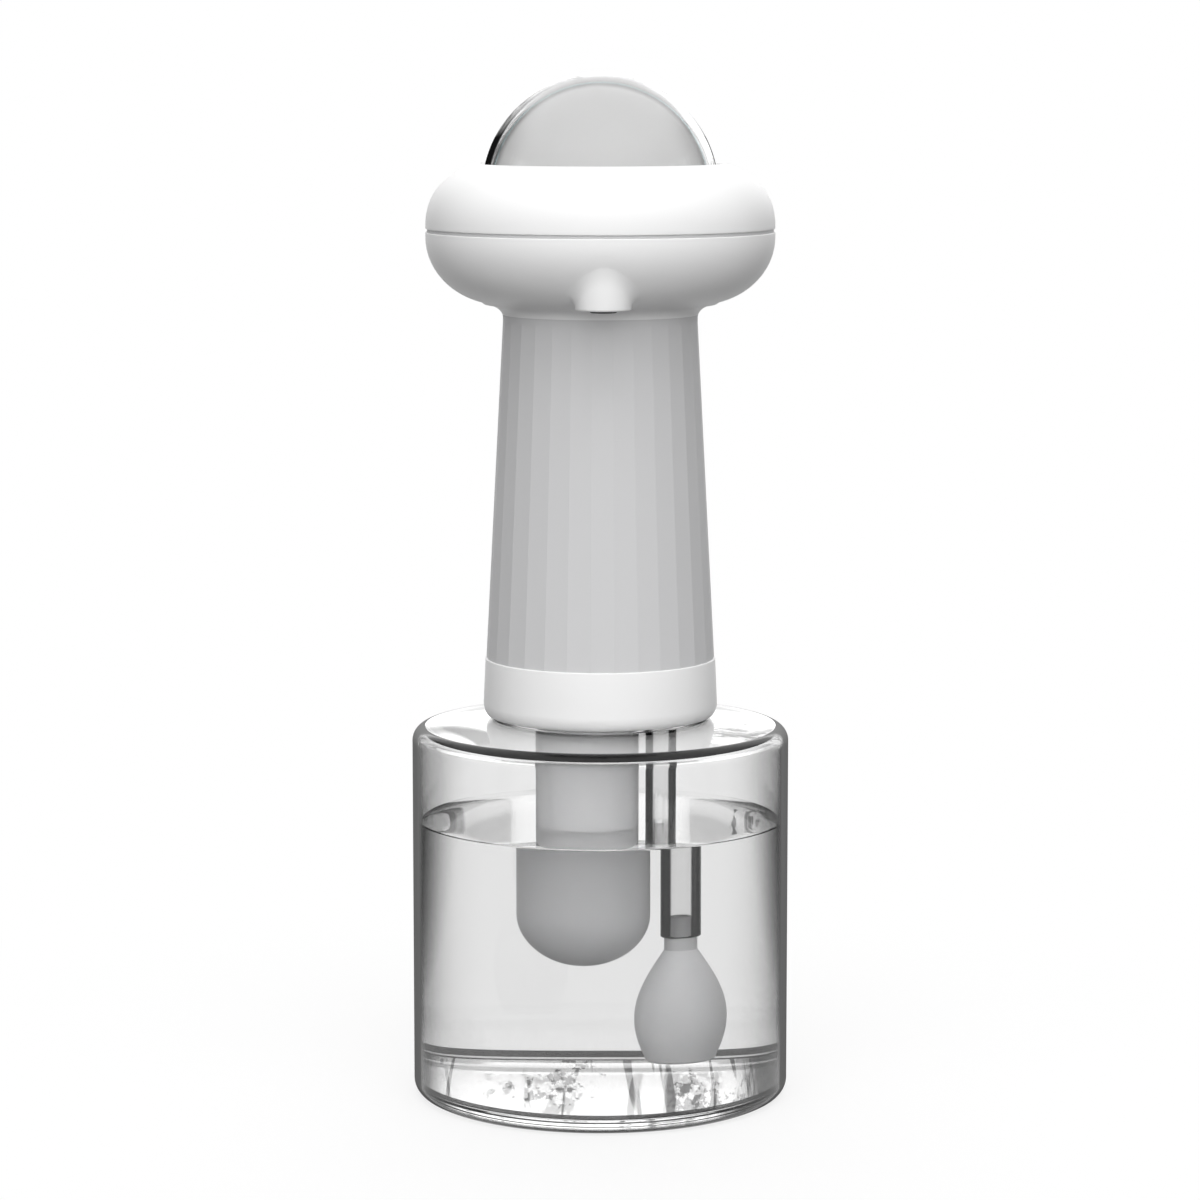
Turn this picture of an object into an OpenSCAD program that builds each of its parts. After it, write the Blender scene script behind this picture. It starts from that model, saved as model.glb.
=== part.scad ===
// Rechargeable foam machine for bathing pets: a clear soap tank that stands on the floor,
// and a pump unit that screws on its neck, with a battery pod and a filter hanging in the tank,
// a faceted grip column, and a mushroom head with a spout below and a clear dome key on top.
// Millimetres, +Z up, origin at the centre of the tank's base, spout towards -Y.

/* [Tank] */
// Outside radius of the tank
tank_r = 42; // [40.5:0.5:46]
// Height of the tank's top above its base, at its rounded edge
tank_h = 83.5; // [80:0.5:90]
// Slope in degrees at which the crowned top leaves its rounded edge
tank_crown_angle = 8; // [2:0.5:9]
// Thickness of the tank's side wall
tank_wall = 1.9; // [1.5:0.1:2.4]
// Thickness of the tank's floor
tank_floor_t = 3; // [2:0.25:4]
// Thickness of the tank's crowned top
tank_top_t = 2.2; // [1.6:0.1:3]
// Radius of the rounded outside edge under the tank
base_edge_r = 3.3; // [2:0.1:4]
// Radius of the rounded outside edge round the tank's top
top_edge_r = 3.3; // [2:0.1:4]
// Bore radius of the filling neck
neck_bore_r = 21.75; // [21.7:0.05:21.95]
// Wall thickness of the neck
neck_wall = 1.6; // [1.3:0.05:1.7]
// Height of the neck above the edge of the tank's top
neck_h = 10.5; // [9:0.25:12]

/* [Collar and column] */
// Outside radius of the collar at its top
collar_top_r = 25.6; // [25.5:0.1:26.5]
// How much wider the collar is at its foot
collar_flare = 0.45; // [0:0.05:1]
// Height of the collar
collar_h = 13; // [12:0.25:14]
// Thickness of the flange inside the collar's top
collar_flange_t = 1.5; // [1:0.1:2]
// Bore radius of the collar round the neck
collar_bore_r = 24.15; // [24:0.05:24.3]
// Number of flat facets round the column
facets = 30; // [24:2:36]
// Radius over the facet edges at the column's foot
column_foot_r = 25.4; // [25:0.1:26]
// Radius over the facet edges at the column's top
column_top_r = 21.5; // [21:0.1:22.5]
// Height of the column
column_h = 74.8; // [73:0.2:80]
// Wall thickness of the column
column_wall = 2; // [1.6:0.1:2.2]

/* [Head] */
// Greatest outside radius of the head
head_r = 38.5; // [37.5:0.25:41]
// Wall thickness of both head shells
head_wall = 2; // [1.6:0.1:2.2]
// Height of the bowl-shaped lower shell
bowl_h = 19.7; // [19:0.1:22]
// Radius where the bowl's underside runs level
bowl_flat_r = 22.2; // [22:0.1:24]
// Radius of the hollow fillet where the bowl meets the column
bowl_fillet_r = 3; // [2:0.1:3.4]
// Height of the gasket seen between the head's shells
gasket_t = 0.7; // [0.5:0.05:1]
// Height of the upper shell above the gasket
crown_h = 15.7; // [15.2:0.1:17]
// Radius where the upper shell's top runs level
crown_flat_r = 16; // [14:0.5:18]
// Power of the upper shell's rounded profile, 2 is an ellipse
crown_share = 2.38; // [2:0.02:2.6]

/* [Spout] */
// Distance of the spout's axis inside the head's greatest radius
spout_inset = 7.5; // [7:0.25:8.5]
// Outside radius of the spout
spout_r = 6; // [5.8:0.1:6.5]
// Bore radius of the spout
spout_bore_r = 4.2; // [4:0.05:4.4]
// Height of the spout's mouth above the column's top
spout_lift = 4.2; // [3.9:0.1:5]
// Radius of the hollow fillet where the spout meets the bowl
spout_fillet_r = 2.6; // [1:0.1:3]
// Radius of the rounded edge of the spout's mouth
spout_edge_r = 0.5; // [0.2:0.05:0.7]

/* [Dome key] */
// Outside radius of the clear dome
dome_r = 26.07; // [25:0.05:26.1]
// Wall thickness of the clear dome
dome_wall = 2; // [1.6:0.1:2.2]
// Height of the dome's centre above the gasket
dome_centre_h = 8; // [8:0.1:9]
// Gap round the dome in the upper shell
dome_gap = 0.43; // [0.35:0.02:0.6]
// Travel of the dome when it is pressed
dome_travel = 1.5; // [1:0.1:1.6]

/* [Battery pod] */
// Outside radius of the pod
pod_r = 11.45; // [11.3:0.05:11.8]
// Radius of the battery cell
cell_r = 9.25; // [9.2:0.01:9.3]
// Length of the battery cell
cell_l = 65; // [64.5:0.1:65.5]
// Distance of the pod behind or before the centre line, and to its left
pod_offset = 3; // [2.6:0.1:3.2]
// Height of the centre of the pod's round end above the base
pod_end_z = 43; // [42:0.25:46]

/* [Suction line] */
// Distance from the centre line to the suction hose
hose_x = 13.5; // [13.4:0.05:13.6]
// Outside radius of the suction hose
hose_r = 3.45; // [3.3:0.05:3.5]
// Bore radius of the suction hose
hose_bore_r = 2; // [1.8:0.05:2.1]
// Height of the hose's lower end above the base
hose_end_z = 37.4; // [36.5:0.1:39]
// Greatest radius of the filter bulb
bulb_r = 7.85; // [7.4:0.05:7.9]
// Height of the filter bulb
bulb_h = 25.4; // [24:0.2:27]

/* [Charging port] */
// Height of the port above the column's foot
port_h = 13.6; // [13:0.2:16]
// Width of the port's silicone plug
plug_w = 15; // [14.5:0.1:16]
// Height of the port's silicone plug
plug_h = 8.4; // [8:0.1:9]

/* [Pump] */
// Radius of the pump and its housing
pump_r = 13.5; // [13:0.1:13.6]
// Radius of the motor
motor_r = 12.2; // [11.8:0.1:12.2]
// Length of the motor
motor_l = 30.8; // [29:0.2:32]
// Distance of the pump to the left of the centre line
pump_offset = 4.5; // [4.3:0.1:4.6]
// Radius of the motor's shaft
shaft_r = 1; // [0.8:0.05:1.2]

/* [Hidden] */

$fn = 96;
// Overrun of every cut past the face that it opens
over = 1;
// Clearance between pieces that are pushed together and stay still
seat_gap = 0.1;
// Clearance between pieces that move past each other
move_gap = 0.35;
// Radial clearance of a turning shaft
shaft_gap = 0.04;
// Steps in a quarter turn of a rounded profile
arc_steps = 14;
quarter = 90;

// Heights of the stack, from the neck upwards
seal_t = 1.3;
bulkhead_t = 2;
neck_top_z = tank_h + neck_h;
bulkhead_z = neck_top_z + seal_t;
flange_z = bulkhead_z + bulkhead_t;
collar_top_z = flange_z + collar_flange_t;
collar_z = collar_top_z - collar_h;
column_top_z = collar_top_z + column_h;
gasket_z = column_top_z + bowl_h;
crown_z = gasket_z + gasket_t;

// Collar
collar_edge_h = 3;
collar_edge_r = 1.5;
flange_bore_r = 21;

// Neck seal
seal_inset = 0.1;

// Bulkhead and battery pod
bulkhead_r = collar_bore_r - seat_gap;
boss_r = flange_bore_r - seat_gap;
cell_gap = 0.35;
pod_bore_r = cell_r + cell_gap;
pod_flange_lip = 1.35;
pod_flange_r = pod_r + pod_flange_lip;
pod_flange_t = 2.5;
o_ring_r = 11;
o_ring_wire = 0.6;
o_ring_squeeze = 0.15;
contact_t = 0.6;
cell_drop = 2.5;
cell_z = pod_end_z - cell_drop;
minus_contact_r = 7;
plus_contact_r = 4.5;
cell_cap_wall = 1.5;
cell_top_z = cell_z + contact_t + cell_l;
cap_roof_z = cell_top_z + contact_t;

// Suction line
barb_r = hose_bore_r - shaft_gap;
barb_wall = 0.8;
barb_bore_r = barb_r - barb_wall;
barb_l = 10;
fitting_flange_r = hose_r;
fitting_flange_t = 1;
fitting_body_r = 2.5;
tube_r = 2.6;
tube_bore_r = 1.6;
spigot_r = tube_bore_r - shaft_gap;
spigot_tube_wall = 0.6;
spigot_bore_r = spigot_r - spigot_tube_wall;
spigot_l = 6;
stem_l = 4.8;
stem_foot = 2.9;
stem_inset = 0.6;
stem_r = hose_r - shaft_gap - stem_inset;
bulb_wall = 1.5;
bulb_shoulder_share = 0.61;
bulb_tuck_angle = 40;
bulb_edge_r = 0.9;
weight_r = 3.6;
bulb_top_z = hose_end_z - stem_foot;
bulb_z = bulb_top_z - bulb_h;
bulb_belly_z = bulb_top_z - bulb_h * bulb_shoulder_share;

// Column inside
column_spigot_l = 6;
column_bore_r = column_top_r * cos(180 / facets) - column_wall;
column_foot_bore_r = column_foot_r * cos(180 / facets) - column_wall;

// Chassis
chassis_gap = 0.4;
chassis_r = column_foot_bore_r - chassis_gap;
chassis_t = 2;
cap_r = pod_bore_r + cell_cap_wall;
motor_floor_t = 2;
motor_z = cap_roof_z + cell_cap_wall + motor_floor_t;
cradle_gap = 0.3;
cradle_wall = 1.5;
cradle_r = motor_r + cradle_gap + cradle_wall;
cradle_window_w = 14;
cradle_window_rim = 5;
screw_angles = [35, 165, 328];
screw_circle_r = 18.5;
screw_head_r = 2.2;
screw_head_t = 1.5;
screw_shank_r = 1.1;
screw_tip_gap = 1;
screw_boss_r = 2.7;
screw_boss_h = 6;

// Pump, from the motor's top upwards
housing_z = motor_z + motor_l;
housing_floor_t = 1.5;
housing_h = 15;
housing_wall = 1.5;
shaft_up = 4;
shaft_down = 6;
shaft_collar_r = 3;
shaft_collar_h = 1;
eccentric_r = 6;
eccentric_h = 4;
pin_r = 0.8;
pin_offset = 2.4;
pin_rise = 5;
plate_t = 1.6;
plate_arm_r = 3.4;
plate_arms = 3;
hub_r = 4.2;
hub_drop = 2.6;
cup_r = 3.3;
cup_h = 2.4;
cup_circle_r = 7;
diaphragm_t = 1.2;
diaphragm_z = housing_z + housing_h;
pump_head_t = 8;
pump_head_z = diaphragm_z + diaphragm_t;
pump_port_r = 6;
pump_port_l = 4.5;
pump_screw_r = 1;
pump_screw_head_r = 1.7;
pump_screw_head_t = 1.2;
pump_screw_circle_r = 11.4;
eccentric_z = housing_z + housing_floor_t + shaft_collar_h + move_gap;
pivot_z = eccentric_z + eccentric_h + pin_rise;
plate_z = diaphragm_z - cup_h - plate_t;

// Soft tubes inside the housing: rings along a smooth curve
tube_sides = 12;
tube_rings = 18;
tube_push = 4;
inlet_rise = 12;
foam_rise = 13;
foam_swing = 12;
cartridge_port_h = 9.3;

// Control board and charging port
board_t = 1.2;
board_w = 20;
board_h = 46;
board_gap = 0.3;
board_y = cradle_r + board_gap;
socket_w = 9;
socket_h = 3.3;
socket_l = 6.4;
socket_wall = 0.3;
chip_w = 7;
chip_h = 9;
chip_t = 1;
chip_side_share = 0.25;
port_z = collar_top_z + port_h;
pad_inset = 0.3;
pad_side = 1.7;
pad_rim = 2.7;
pad_face_y = column_foot_r - pad_inset;
pad_w = plug_w + 2 * pad_side;
pad_h = plug_h + 2 * pad_rim;
pad_back_t = 3.8;
plug_t = 1.3;
plug_gap = 0.3;
slot_margin = 0.7;
slot_w = socket_w + 2 * slot_margin;
slot_h = socket_h + 2 * slot_margin;
tongue_gap = 0.9;
tongue_w = slot_w - 2 * tongue_gap;
tongue_h = slot_h - 2 * tongue_gap;
tongue_t = 1.2;
anchor_h = 1.8;
grip_h = 0.6;
grip_w = 6;

// Lower shell and spout
bowl_rim_h = 1.1;
spigot_rise = 0.9;
spigot_wall = 1.6;
bowl_land = 0.5;
bowl_low_z = column_top_z + bowl_fillet_r + spigot_rise;
bowl_belly_z = gasket_z - bowl_rim_h;
frame_drop = 3.3;
frame_z = gasket_z - frame_drop;
spout_reach = head_r - spout_inset;
spout_z = column_top_z + spout_lift;
spout_top_gap = 2;
spout_top_z = frame_z - spout_top_gap;

// Skirt that blends the spout in the bowl: rings of points round the spout, from its wall to the bowl's
skirt_cols = 40;
skirt_steps = 7;
skirt_sink = 0.05;
skirt_root = 0.9;
skirt_foot = 0.15;
skirt_least_r = 0.2;
skirt_slope_step = 0.4;
skirt_tail_l = 1.2;
skirt_tail_rise = 0.5;
cartridge_r = spout_bore_r - seat_gap;
cartridge_bore_r = 2.8;
tip_h = 2.6;
cartridge_z = spout_z + tip_h;
cartridge_top_gap = 0.6;
cartridge_h = frame_z - cartridge_top_gap - cartridge_z;
cartridge_roof_t = 1.5;
cartridge_port_z = cartridge_z + cartridge_port_h - tube_r;
mesh_t = 0.4;
mesh_rises = [1.2, 3.4];
tip_r = 2.9;
tip_bore_r = 1.7;
tip_drop = 0.5;

// Upper shell
tongue_inset = 0.5;
tongue_ring_r = head_r - head_wall - tongue_inset;
tongue_ring_wall = 1.2;
tongue_ring_h = 3.3;
tongue_ring_rise = 2.4;
lip_r = 1;
sleeve_wall = 1.7;
sleeve_r = dome_r + dome_gap;
sleeve_out_r = sleeve_r + sleeve_wall;
gasket_inset = 0.35;

// Dome key
dome_z = crown_z + dome_centre_h;
dome_skirt_h = 3;
flange_up_z = dome_z - dome_skirt_h;
dome_flange_t = 1.5;
dome_flange_inset = 0.5;
dome_flange_r = sleeve_out_r - dome_flange_inset;
dome_inner_r = dome_r - dome_wall;
diffuser_r = dome_inner_r - move_gap;
diffuser_wall = 1.4;
key_plate_r = dome_inner_r - seat_gap;
key_plate_z = flange_up_z - dome_flange_t;
key_window_count = 6;
key_window_r = 4;
key_window_circle_r = 14;

// Head frame and its posts, key board and what is on it
frame_t = 2;
frame_inset = 2.8;
frame_r = tongue_ring_r - tongue_ring_wall - frame_inset;
frame_rim = 4;
frame_bore_r = 15;
frame_screw_l = 8;
post_r = 2.8;
post_circle_r = frame_r - frame_rim;
post_angles = [45, 135, 225, 315];
key_board_r = 19;
key_board_t = 1.6;
key_board_z = frame_z + frame_t;
key_board_top_z = key_board_z + key_board_t;
switch_w = 6;
switch_gap = 0.4;
switch_h = key_plate_z - key_board_top_z - dome_travel - switch_gap;
lamp_w = 2;
lamp_h = 0.8;
lamp_count = 8;
lamp_circle_r = 15.5;

// Spring under the key plate
spring_turns = 3;
spring_r = 6.4;
spring_wire = 0.4;
spring_steps = 12;
spring_sides = 6;

// Points on an arc of an ellipse from angle a0 to a1
function arc(cx, cy, rx, ry, a0, a1, n = arc_steps) =
    [for (i = [0:n]) let (a = a0 + (a1 - a0) * i / n) [cx + rx * cos(a), cy + ry * sin(a)]];

// All points of a list but the last
function but_last(points) = [for (i = [0:len(points) - 2]) points[i]];

// Points on a flat arc about the axis, from one distance from the axis to another
function cap_arc(cz, r, from_r, to_r) = arc(0, cz, r, r, acos(from_r / r), acos(to_r / r));

// Points on a quarter of a rounded square-ish curve, from its side up to its top
function rounded_quarter(cx, cy, rx, ry, power, n = 2 * arc_steps) =
    [for (i = [0:n]) let (a = quarter * i / n)
        [cx + rx * pow(cos(a), 2 / power), cy + ry * pow(sin(a), 2 / power)]];

// A point on a cubic curve with two end points and two handles
function curve_at(p, t) =
    pow(1 - t, 3) * p[0] + 3 * pow(1 - t, 2) * t * p[1] + 3 * (1 - t) * t * t * p[2] + pow(t, 3) * p[3];

function unit(v) = v / norm(v);

// Heading of a curve of points at point i
function heading(path, i) =
    unit(path[min(i + 1, len(path) - 1)] - path[max(i - 1, 0)]);

// A direction square to every heading of a curve, carried along it without twist
function side_at(path, i, start) =
    i == 0 ? unit(start - heading(path, 0) * (start * heading(path, 0)))
    : let (last = side_at(path, i - 1, start), t = heading(path, i)) unit(last - t * (last * t));

// Rings of points round a curve, sides of them to a ring
function rings(path, r, sides, start) =
    [for (i = [0:len(path) - 1])
        let (t = heading(path, i), u = side_at(path, i, start), v = cross(t, u))
        for (k = [0:sides - 1]) path[i] + r * (cos(360 * k / sides) * u + sin(360 * k / sides) * v)];

// A solid round bar along a curve of points
module bar_along(path, r, sides, start) {
    n = len(path);
    polyhedron(
        points = rings(path, r, sides, start),
        faces = concat(
            [[for (k = [0:sides - 1]) k]],
            [for (i = [0:n - 2]) for (k = [0:sides - 1]) let (a = i * sides, b = (k + 1) % sides)
                [a + k, a + sides + k, a + sides + b]],
            [for (i = [0:n - 2]) for (k = [0:sides - 1]) let (a = i * sides, b = (k + 1) % sides)
                [a + k, a + sides + b, a + b]],
            [[for (k = [sides - 1:-1:0]) (n - 1) * sides + k]]));
}

// A soft tube along a cubic curve, with straight ends that push on two spigots
module soft_tube(p, push_start, push_end) {
    curve = [for (i = [0:tube_rings]) curve_at(p, i / tube_rings)];
    path = concat([p[0] + push_start], curve, [p[3] + push_end]);
    long_path = concat([p[0] + push_start * (1 + over / tube_push)], curve,
                       [p[3] + push_end * (1 + over / tube_push)]);
    difference() {
        bar_along(path, tube_r, tube_sides, [0, 1, 0]);
        bar_along(long_path, tube_bore_r / cos(180 / tube_sides), tube_sides, [0, 1, 0]);
    }
}

// A washer, or a plain tube
module ring(outer_r, inner_r, h) {
    difference() {
        cylinder(r = outer_r, h = h);
        translate([0, 0, -over]) cylinder(r = inner_r, h = h + 2 * over);
    }
}

// A screw whose head's top is at z = 0 and whose shank points down
module screw(head_r, head_t, shank_r, l) {
    translate([0, 0, -head_t]) cylinder(r = head_r, h = head_t);
    translate([0, 0, -l]) cylinder(r = shank_r, h = l - head_t);
}

// Clear moulded tank with a thick floor, a slightly crowned top and a filling neck
module tank() {
    inner_r = tank_r - tank_wall;
    inner_edge = base_edge_r - tank_wall;
    slope = tank_crown_angle;
    crown_edge_r = tank_r - top_edge_r * (1 - sin(slope));
    crown_r = crown_edge_r / sin(slope);
    crown_cz = tank_h - top_edge_r * (1 - cos(slope)) - crown_r * cos(slope);
    roof_r = crown_r - tank_top_t;
    roof_edge_r = inner_r - inner_edge * (1 - sin(slope));
    roof_edge_z = crown_cz + sqrt(pow(roof_r, 2) - pow(roof_edge_r, 2));
    color([0.85, 0.87, 0.88, 0.35])
    rotate_extrude()
        polygon(concat(
            [[0, 0]],
            arc(tank_r - base_edge_r, base_edge_r, base_edge_r, base_edge_r, -quarter, 0),
            but_last(arc(tank_r - top_edge_r, tank_h - top_edge_r, top_edge_r, top_edge_r,
                         0, quarter - slope)),
            cap_arc(crown_cz, crown_r, crown_edge_r, neck_bore_r + neck_wall),
            [[neck_bore_r + neck_wall, neck_top_z], [neck_bore_r, neck_top_z]],
            but_last(cap_arc(crown_cz, roof_r, neck_bore_r, roof_edge_r)),
            arc(inner_r - inner_edge, roof_edge_z - inner_edge * cos(slope), inner_edge, inner_edge,
                quarter - slope, 0),
            arc(inner_r - inner_edge, tank_floor_t + inner_edge, inner_edge, inner_edge, 0, -quarter),
            [[0, tank_floor_t]]));
}

// Silicone washer between the neck and the bulkhead
module neck_seal() {
    color("gainsboro")
    translate([0, 0, neck_top_z])
        ring(neck_bore_r + neck_wall - seal_inset, neck_bore_r + seal_inset, seal_t);
}

// White collar that screws over the neck
module collar_ring() {
    foot_r = collar_top_r + collar_flare;
    color("white")
    rotate_extrude()
        polygon(concat(
            [[collar_bore_r, collar_z]],
            arc(foot_r - collar_edge_r, collar_z + collar_edge_h, collar_edge_r, collar_edge_h, -quarter, 0),
            [[collar_top_r, collar_top_z], [flange_bore_r, collar_top_z],
             [flange_bore_r, flange_z], [collar_bore_r, flange_z]]));
}

// Places of the three screws that hold bulkhead, collar and chassis together
module at_chassis_screws() {
    for (a = screw_angles)
        rotate([0, 0, a]) translate([screw_circle_r, 0, 0]) children();
}

// Plate that closes the pump unit over the neck
module bulkhead() {
    color("whitesmoke")
    difference() {
        union() {
            translate([0, 0, bulkhead_z]) cylinder(r = bulkhead_r, h = bulkhead_t);
            translate([0, 0, flange_z]) cylinder(r = boss_r, h = collar_flange_t);
        }
        translate([-pod_offset, -pod_offset, bulkhead_z - over])
            cylinder(r = pod_bore_r, h = bulkhead_t + collar_flange_t + 2 * over);
        translate([hose_x, 0, bulkhead_z - over])
            cylinder(r = fitting_body_r + seat_gap, h = bulkhead_t + collar_flange_t + 2 * over);
        at_chassis_screws()
            translate([0, 0, bulkhead_z - over])
                cylinder(r = screw_shank_r + seat_gap, h = bulkhead_t + collar_flange_t + 2 * over);
    }
}

// Grey pod with a round end that hangs in the tank and holds the battery
module battery_pod() {
    color("darkgray")
    translate([-pod_offset, -pod_offset, 0])
    difference() {
        rotate_extrude()
            polygon(concat(
                [[0, cell_z]],
                [[0, pod_end_z - pod_r]],
                [for (p = arc(0, pod_end_z, pod_r, pod_r, -quarter, 0)) if (p[0] > 0) p],
                [[pod_r, bulkhead_z - pod_flange_t], [pod_flange_r, bulkhead_z - pod_flange_t],
                 [pod_flange_r, bulkhead_z], [pod_bore_r, bulkhead_z], [pod_bore_r, cell_z]]));
        translate([0, 0, bulkhead_z - 2 * o_ring_wire + o_ring_squeeze])
            ring(o_ring_r + o_ring_wire + seat_gap, o_ring_r - o_ring_wire - seat_gap,
                 2 * o_ring_wire + over);
    }
}

// Flattened sealing ring in the pod's flange
module pod_o_ring() {
    color("dimgray")
    translate([-pod_offset, -pod_offset, bulkhead_z - 2 * o_ring_wire + o_ring_squeeze])
        ring(o_ring_r + o_ring_wire, o_ring_r - o_ring_wire, 2 * o_ring_wire - o_ring_squeeze);
}

// Round lithium cell, 18 mm size
module battery_cell() {
    color("steelblue")
    translate([-pod_offset, -pod_offset, cell_z + contact_t]) cylinder(r = cell_r, h = cell_l);
}

// Plates under and over the cell
module battery_contacts() {
    color("silver")
    translate([-pod_offset, -pod_offset, 0]) {
        translate([0, 0, cell_z]) cylinder(r = minus_contact_r, h = contact_t);
        translate([0, 0, cell_top_z]) cylinder(r = plus_contact_r, h = contact_t);
    }
}

// Fitting through the bulkhead: a nipple below for the hose and a spigot above for the tube
module hose_fitting() {
    flange_low_z = bulkhead_z - fitting_flange_t;
    barb_z = flange_low_z - barb_l;
    color("lightgray")
    translate([hose_x, 0, 0])
    difference() {
        union() {
            translate([0, 0, flange_low_z]) cylinder(r = fitting_flange_r, h = fitting_flange_t);
            translate([0, 0, barb_z]) cylinder(r = barb_r, h = barb_l);
            translate([0, 0, bulkhead_z]) cylinder(r = fitting_body_r, h = bulkhead_t + collar_flange_t);
            translate([0, 0, collar_top_z]) cylinder(r = spigot_r, h = spigot_l);
        }
        translate([0, 0, barb_z - over])
            cylinder(r = spigot_bore_r, h = collar_top_z + spigot_l - barb_z + 2 * over);
    }
}

// Clear hose that hangs from the fitting
module suction_hose() {
    color([0.8, 0.83, 0.85, 0.5])
    translate([hose_x, 0, hose_end_z])
        ring(hose_r, hose_bore_r, bulkhead_z - fitting_flange_t - hose_end_z);
}

// Hollow stem of the filter, pushed in the hose
module filter_stem() {
    color("gray")
    translate([hose_x, 0, bulb_top_z])
    difference() {
        union() {
            cylinder(r = barb_r, h = stem_foot + stem_l);
            cylinder(r = stem_r, h = stem_foot);
        }
        translate([0, 0, -over]) cylinder(r = barb_bore_r, h = stem_foot + stem_l + 2 * over);
    }
}

// Outline of the filter bulb: a drop that swells from the stem, and tucks in to a flat foot
function bulb_outline(inset) =
    let (neck_r = stem_r - inset, belly_r = bulb_r - inset,
         top_z = bulb_top_z - inset, foot_z = bulb_z + inset,
         foot_r = belly_r * cos(bulb_tuck_angle), edge = max(bulb_edge_r - inset / 2, inset / 4))
    concat(
        [for (i = [0:arc_steps]) let (s = i / arc_steps)
            [neck_r + (belly_r - neck_r) * sin(quarter * s), top_z + (bulb_belly_z - top_z) * s]],
        [for (i = [1:arc_steps]) let (s = i / arc_steps)
            [belly_r * cos(bulb_tuck_angle * s), bulb_belly_z + (foot_z + edge - bulb_belly_z) * s]],
        [[foot_r - edge / 3, foot_z + edge / 3], [foot_r - edge, foot_z]]);

// Porous bulb that keeps hair and grit out of the pump
module filter_bulb() {
    color("silver")
    translate([hose_x, 0, 0])
    difference() {
        rotate_extrude() polygon(concat([[0, bulb_z], [0, bulb_top_z]], bulb_outline(0)));
        rotate_extrude() polygon(concat([[0, bulb_z + bulb_wall], [0, bulb_top_z - bulb_wall]],
                                        bulb_outline(bulb_wall)));
        translate([0, 0, bulb_top_z - 2 * bulb_wall]) cylinder(r = barb_bore_r, h = 2 * bulb_wall + over);
    }
}

// Steel ball that keeps the filter at the bottom
module filter_weight() {
    color("silver")
    translate([hose_x, 0, bulb_z + bulb_wall + weight_r]) sphere(r = weight_r);
}

// Outline of the column's foot: flats between edges, with a flat facing the spout
function facet_ring(r) =
    [for (i = [0:facets - 1]) let (a = -quarter + (i + 0.5) * 360 / facets) [r * cos(a), r * sin(a)]];

// A rounded oblong block lying along Y, centred on the charging port
module port_oblong(w, h, y0, y1) {
    translate([0, y0, port_z]) rotate([-quarter, 0, 0]) {
        translate([-(w - h) / 2, -h / 2, 0]) cube([w - h, h, y1 - y0]);
        for (s = [-1, 1]) translate([s * (w - h) / 2, 0, 0]) cylinder(r = h / 2, h = y1 - y0);
    }
}

// Faceted grip column with a pad round the charging port
module column_shell() {
    color("lightgray")
    translate([0, 0, collar_top_z])
    difference() {
        union() {
            linear_extrude(height = column_h, scale = column_top_r / column_foot_r)
                polygon(facet_ring(column_foot_r));
            translate([0, 0, -collar_top_z]) port_oblong(pad_w, pad_h, pad_face_y - pad_back_t, pad_face_y);
        }
        difference() {
            union() {
                translate([0, 0, -over])
                    cylinder(r1 = column_foot_bore_r, r2 = column_bore_r,
                             h = column_h - column_spigot_l + over);
                cylinder(r = column_bore_r, h = column_h + over);
            }
            translate([0, 0, -collar_top_z]) port_oblong(pad_w, pad_h, pad_face_y - pad_back_t, pad_face_y);
        }
        translate([0, 0, -collar_top_z]) {
            port_oblong(plug_w + 2 * plug_gap, plug_h + 2 * plug_gap, pad_face_y - plug_t - plug_gap,
                        pad_face_y + over);
            port_oblong(slot_w, slot_h, pad_face_y - pad_back_t - over, pad_face_y);
            translate([-grip_w / 2, pad_face_y - plug_t - plug_gap, port_z - plug_h / 2 - anchor_h])
                cube([grip_w, plug_t + plug_gap + over, anchor_h + plug_h / 2]);
        }
    }
}

// Inner frame: foot plate, cap over the cell, and a cradle for the motor
module chassis() {
    color("dimgray")
    difference() {
        union() {
            translate([0, 0, collar_top_z]) cylinder(r = chassis_r, h = chassis_t);
            translate([-pod_offset, -pod_offset, collar_top_z])
                cylinder(r = cap_r, h = motor_z - collar_top_z);
            translate([-pump_offset, 0, motor_z - motor_floor_t])
                cylinder(r = cradle_r, h = motor_floor_t + motor_l);
            at_chassis_screws()
                translate([0, 0, collar_top_z]) cylinder(r = screw_boss_r, h = screw_boss_h);
        }
        translate([-pod_offset, -pod_offset, collar_top_z - over])
            cylinder(r = pod_bore_r, h = cap_roof_z - collar_top_z + over);
        translate([-pump_offset, 0, motor_z]) {
            cylinder(r = motor_r + cradle_gap, h = motor_l + over);
            for (s = [0, 180])
                rotate([0, 0, s])
                    translate([-cradle_window_w / 2, 0, cradle_window_rim])
                        cube([cradle_window_w, cradle_r + over, motor_l - 2 * cradle_window_rim]);
        }
        translate([hose_x, 0, collar_top_z - over])
            cylinder(r = tube_r + 2 * seat_gap, h = chassis_t + 2 * over);
        at_chassis_screws()
            translate([0, 0, collar_top_z - over])
                cylinder(r = screw_shank_r, h = screw_boss_h + over);
    }
}

// Three screws from below through the bulkhead in the chassis
module chassis_screws() {
    color("silver")
    at_chassis_screws()
        translate([0, 0, bulkhead_z - screw_head_t]) mirror([0, 0, 1])
            screw(screw_head_r, screw_head_t, screw_shank_r,
                  screw_head_t + bulkhead_t + collar_flange_t + screw_boss_h - screw_tip_gap);
}

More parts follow.
